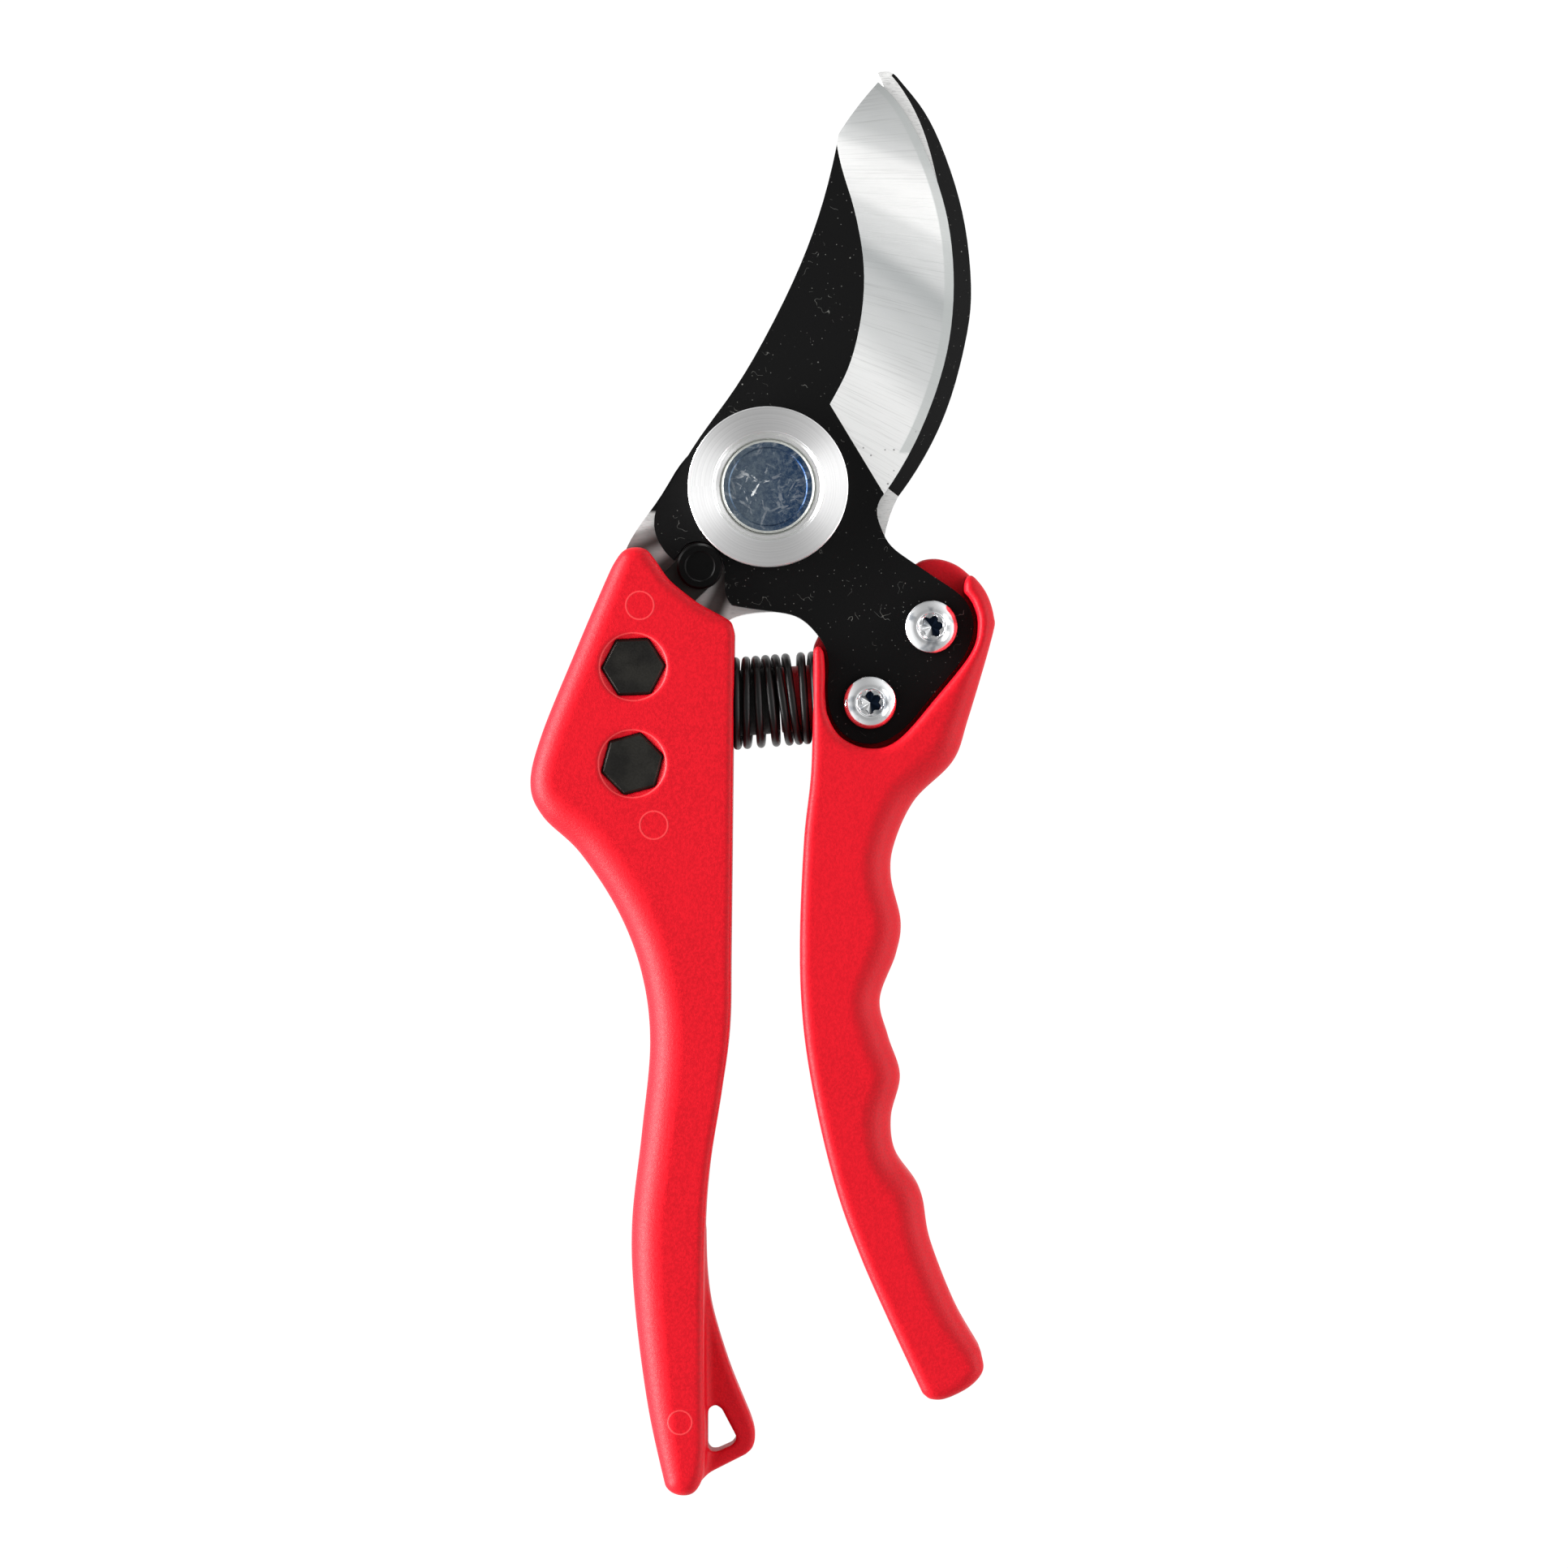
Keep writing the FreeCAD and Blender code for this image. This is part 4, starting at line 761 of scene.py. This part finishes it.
def make_spring():
    line = [float(s[0]) for s in coil_line()]
    axis = np.array([math.cos(SPRING_TURN), math.sin(SPRING_TURN), 0.0])
    up = np.array([0.0, 0.0, 1.0])
    side = np.cross(up, axis)
    centre = np.array([SPRING_CENTRE[0], SPRING_CENTRE[1], HANDLE_MIDDLE])
    points, faces, along = [], [], []
    for i, s in enumerate(line):
        angle = math.pi * i / COIL_STEPS
        outwards = side * math.cos(angle) + up * math.sin(angle)
        middle = centre + axis * s + outwards * SPRING_R
        for k in range(WIRE_SIDES):
            turn = 2 * math.pi * k / WIRE_SIDES
            points.append((middle + SPRING_WIRE * (outwards * math.cos(turn) + axis * math.sin(turn))) * MM)
            along.append(s)
            if i + 1 < len(line):
                j = (k + 1) % WIRE_SIDES
                base = i * WIRE_SIDES
                faces.append((base + k, base + j, base + WIRE_SIDES + j, base + WIRE_SIDES + k))
    last = (len(line) - 1) * WIRE_SIDES
    faces.append(tuple(range(WIRE_SIDES))[::-1])
    faces.append(tuple(range(last, last + WIRE_SIDES)))
    piece = mesh_piece("spring_coil", points, faces)
    piece.data.shade_smooth()
    piece.data.materials.append(dark_wire())
    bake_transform(piece)
    share = (np.array(along) - min(line)) / (max(line) - min(line))
    share = share * share * (3 - 2 * share)
    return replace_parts(piece, "spring")


# ---------------------------------------------------------------- turned pieces

TURN_STEPS = 120


def turned_piece(name, sections, centre):
    """Rings joined from the middle outwards; each ring is a height and a radius that may depend on the angle."""
    points, faces = [], []
    for radius, height in sections:
        for k in range(TURN_STEPS):
            angle = 2 * math.pi * k / TURN_STEPS
            r = radius(angle) if callable(radius) else radius
            points.append(((centre[0] + r * math.cos(angle)) * MM, (centre[1] + r * math.sin(angle)) * MM, height * MM))
    for ring in range(len(sections) - 1):
        for k in range(TURN_STEPS):
            j = (k + 1) % TURN_STEPS
            a, b = ring * TURN_STEPS, (ring + 1) * TURN_STEPS
            faces.append((a + k, b + k, b + j, a + j))
    piece = mesh_piece(name, points, faces)
    mesh = bmesh.new()
    mesh.from_mesh(piece.data)
    bmesh.ops.remove_doubles(mesh, verts=mesh.verts, dist=1e-7)
    bmesh.ops.recalc_face_normals(mesh, faces=mesh.faces)
    mesh.to_mesh(piece.data)
    mesh.free()
    piece.data.shade_smooth()
    piece.data.set_sharp_from_angle(angle=math.radians(25))
    return piece


def make_collar():
    """The turned ring: fine lip, stepped recess and a light chamfer outside."""
    base, top = (corner.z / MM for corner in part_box("pivot_collar"))
    sections = [(4.05, base), (11.3, base), (11.5, base + 0.2), (11.5, top - 0.12), (11.38, top), (9.0, top + 0.0),
                (8.02, top - 0.02), (7.92, top - 0.14), (7.78, top - 0.16), (7.50, top - 0.55), (7.45, top - 0.9),
                (7.0, top - 1.0), (6.75, top - 1.4), (6.75, base + 0.9), (4.05, base + 0.9), (4.05, base)]
    piece = turned_piece("collar_ring", sections, (0.0, 0.0))
    piece.data.materials.append(turned_metal("turned_collar", (0.0, 0.0), rgb(0.995, 0.995, 0.995), 0.38, 6.0, 0.8))
    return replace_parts(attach(piece, "fixed_half"), "pivot_collar")


def make_screw(node, centre, turn):
    """A button-head screw with a six-lobed recess inside a narrow raised ring."""
    bottom, top = (corner.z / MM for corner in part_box(node))
    seat = BLADE_TOP

    def lobes(size):
        return lambda angle: size * (1.45 + 0.23 * math.cos(6 * (angle - turn)))

    dome = [(2.2 + 1.5 * t, top - 0.06 - 0.62 * t ** 1.9) for t in (0.0, 0.2, 0.4, 0.6, 0.75, 0.88, 0.96, 1.0)]
    sections = [(0.01, top - 1.6), (lobes(0.5), top - 1.42), (lobes(0.9), top - 1.2), (lobes(1.0), top - 0.32),
                (lobes(1.06), top - 0.22),
                (1.88, top - 0.16), (1.96, top - 0.02), (2.08, top), (2.16, top - 0.05)] + dome
    sections += [(3.78, top - 0.80), (3.8, top - 0.95), (3.8, seat + 0.1), (3.7, seat + 0.02), (2.0, seat + 0.02), (2.0, bottom + 0.3), (1.7, bottom), (0.01, bottom)]
    piece = turned_piece(node + "_domed", sections, centre)
    piece.data.materials.append(screw_chrome(node + "_chrome", centre, top))
    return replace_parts(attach(piece, "moving_half"), node)


# ---------------------------------------------------------------- pieces kept from the frame

def soften(node, width, segments=3, angle=30):
    """Small rounded edges that catch the light."""
    bevel = node.modifiers.new("edge", "BEVEL")
    bevel.width = width * MM
    bevel.segments = segments
    bevel.limit_method = "ANGLE"
    bevel.angle_limit = math.radians(angle)
    bevel.harden_normals = False
    return node


def finish_node(name, material):
    node = NODES[name]
    node.data.materials.clear()
    node.data.materials.append(material)
    return node


def finish_nodes():
    zinc = plated("zinc_plate", rgb(0.60, 0.61, 0.62), 0.34)
    oxide = black_oxide()
    soften(finish_node("cutting_blade", blade_material()), 0.18, 3, 60)
    finish_node("counter_blade", counter_material())
    soften(finish_node("pivot_bolt", blue_zinc()), 0.22, 3, 60)
    finish_node("pivot_bush", bronze())
    for name in ("pivot_washer", "pivot_nut", "upper_handle_nut", "lower_handle_nut", "upper_blade_nut",
                 "lower_blade_nut", "catch_pin"):
        finish_node(name, zinc)
    for name in ("upper_handle_bolt", "lower_handle_bolt", "catch_lever"):
        soften(finish_node(name, oxide), 0.12, 2, 50)
    finish_node("catch_button", black_oxide((-9.8, -11.4)))
    finish_node("catch_washer", dark_wire())
    finish_node("spring_bumper", rubber())


# ---------------------------------------------------------------- stage

def floor():
    mesh = bpy.data.meshes.new("floor")
    r = 3.0
    mesh.from_pydata([(-r, -r, -0.001), (r, -r, -0.001), (r, r, -0.001), (-r, r, -0.001)], [], [(0, 1, 2, 3)])
    piece = bpy.data.objects.new("floor", mesh)
    bpy.context.scene.collection.objects.link(piece)
    s = Shader("floor_paper")
    s.set(Base_Color=(0.04, 0.04, 0.04, 1.0), Roughness=0.9, Specular_IOR_Level=0.0,
          Emission_Color=(1.0, 1.0, 1.0, 1.0), Emission_Strength=1.0)
    mesh.materials.append(s.material)


def lamp(name, place, aim, size, power, color=(1, 1, 1)):
    data = bpy.data.lights.new(name, "AREA")
    data.shape = "RECTANGLE"
    data.size, data.size_y = size
    data.energy = power
    data.color = color
    lamp_object = bpy.data.objects.new(name, data)
    lamp_object.location = place
    lamp_object.rotation_euler = (Vector(aim) - Vector(place)).to_track_quat("-Z", "Y").to_euler()
    bpy.context.scene.collection.objects.link(lamp_object)


def camera():
    data = bpy.data.cameras.new("camera")
    data.sensor_width = 36.0
    data.lens = 135.0
    data.clip_end = 20.0
    eye = bpy.data.objects.new("camera", data)
    eye.location = (0.0023, -0.0427, 0.8585)
    bpy.context.scene.collection.objects.link(eye)
    bpy.context.scene.camera = eye


def light_stage():
    """A pale room that is dark straight above, a low softbox at the left and two high ones at the right."""
    world = bpy.data.worlds.new("studio")
    world.use_nodes = True
    nodes, links = world.node_tree.nodes, world.node_tree.links
    direction = nodes.new("ShaderNodeTexCoord")
    split = nodes.new("ShaderNodeSeparateXYZ")
    links.new(direction.outputs["Generated"], split.inputs[0])
    strength = nodes.new("ShaderNodeMapRange")
    strength.interpolation_type = "SMOOTHSTEP"
    links.new(split.outputs["Z"], strength.inputs[0])
    for socket, value in zip(strength.inputs[1:5], (0.84, 0.985, ROOM_LIGHT, 0.42)):
        socket.default_value = value
    across = nodes.new("ShaderNodeVectorMath")
    across.operation = "DOT_PRODUCT"
    links.new(direction.outputs["Generated"], across.inputs[0])
    across.inputs[1].default_value = (math.cos(math.radians(15)), math.sin(math.radians(15)), 0.0)
    sides = nodes.new("ShaderNodeMath")
    sides.operation = "MULTIPLY"
    links.new(across.outputs["Value"], sides.inputs[0])
    links.new(across.outputs["Value"], sides.inputs[1])
    share = nodes.new("ShaderNodeMapRange")
    links.new(sides.outputs[0], share.inputs[0])
    for socket, value in zip(share.inputs[1:5], (0.0, 0.5, 0.75, 1.8)):
        socket.default_value = value
    room = nodes.new("ShaderNodeMath")
    room.operation = "MULTIPLY"
    links.new(strength.outputs[0], room.inputs[0])
    links.new(share.outputs[0], room.inputs[1])
    background = nodes["Background"]
    background.inputs["Color"].default_value = (1.0, 1.0, 1.0, 1.0)
    links.new(room.outputs[0], background.inputs["Strength"])
    bpy.context.scene.world = world
    lamp("left_softbox", (-0.65, -0.03, 0.13), (0, -0.03, 0), (0.9, 0.22), 20.0)
    lamp("right_softbox", (0.65, -0.05, 0.20), (0, -0.05, 0), (0.9, 0.3), 3.0)
    lamp("upper_right_softbox", (0.42, 0.19, 0.85), (0.02, 0.03, 0), (0.22, 0.22), 0.33)
    lamp("lower_right_softbox", (0.40, -0.24, 0.85), (0.02, -0.03, 0), (0.22, 0.25), 0.35)
    view = bpy.context.scene.view_settings
    view.view_transform = "Standard"
    view.look = "None"


ROOM_LIGHT = 0.57
GRID = 0.32

grip_nylon = red_nylon()
left_grip(grip_nylon)
right_grip(grip_nylon)
make_spring()
finish_nodes()
make_collar()
make_screw("upper_blade_screw", BLADE_SCREWS[0], 0.15)
make_screw("lower_blade_screw", BLADE_SCREWS[1], 0.55)
floor()
light_stage()
camera()
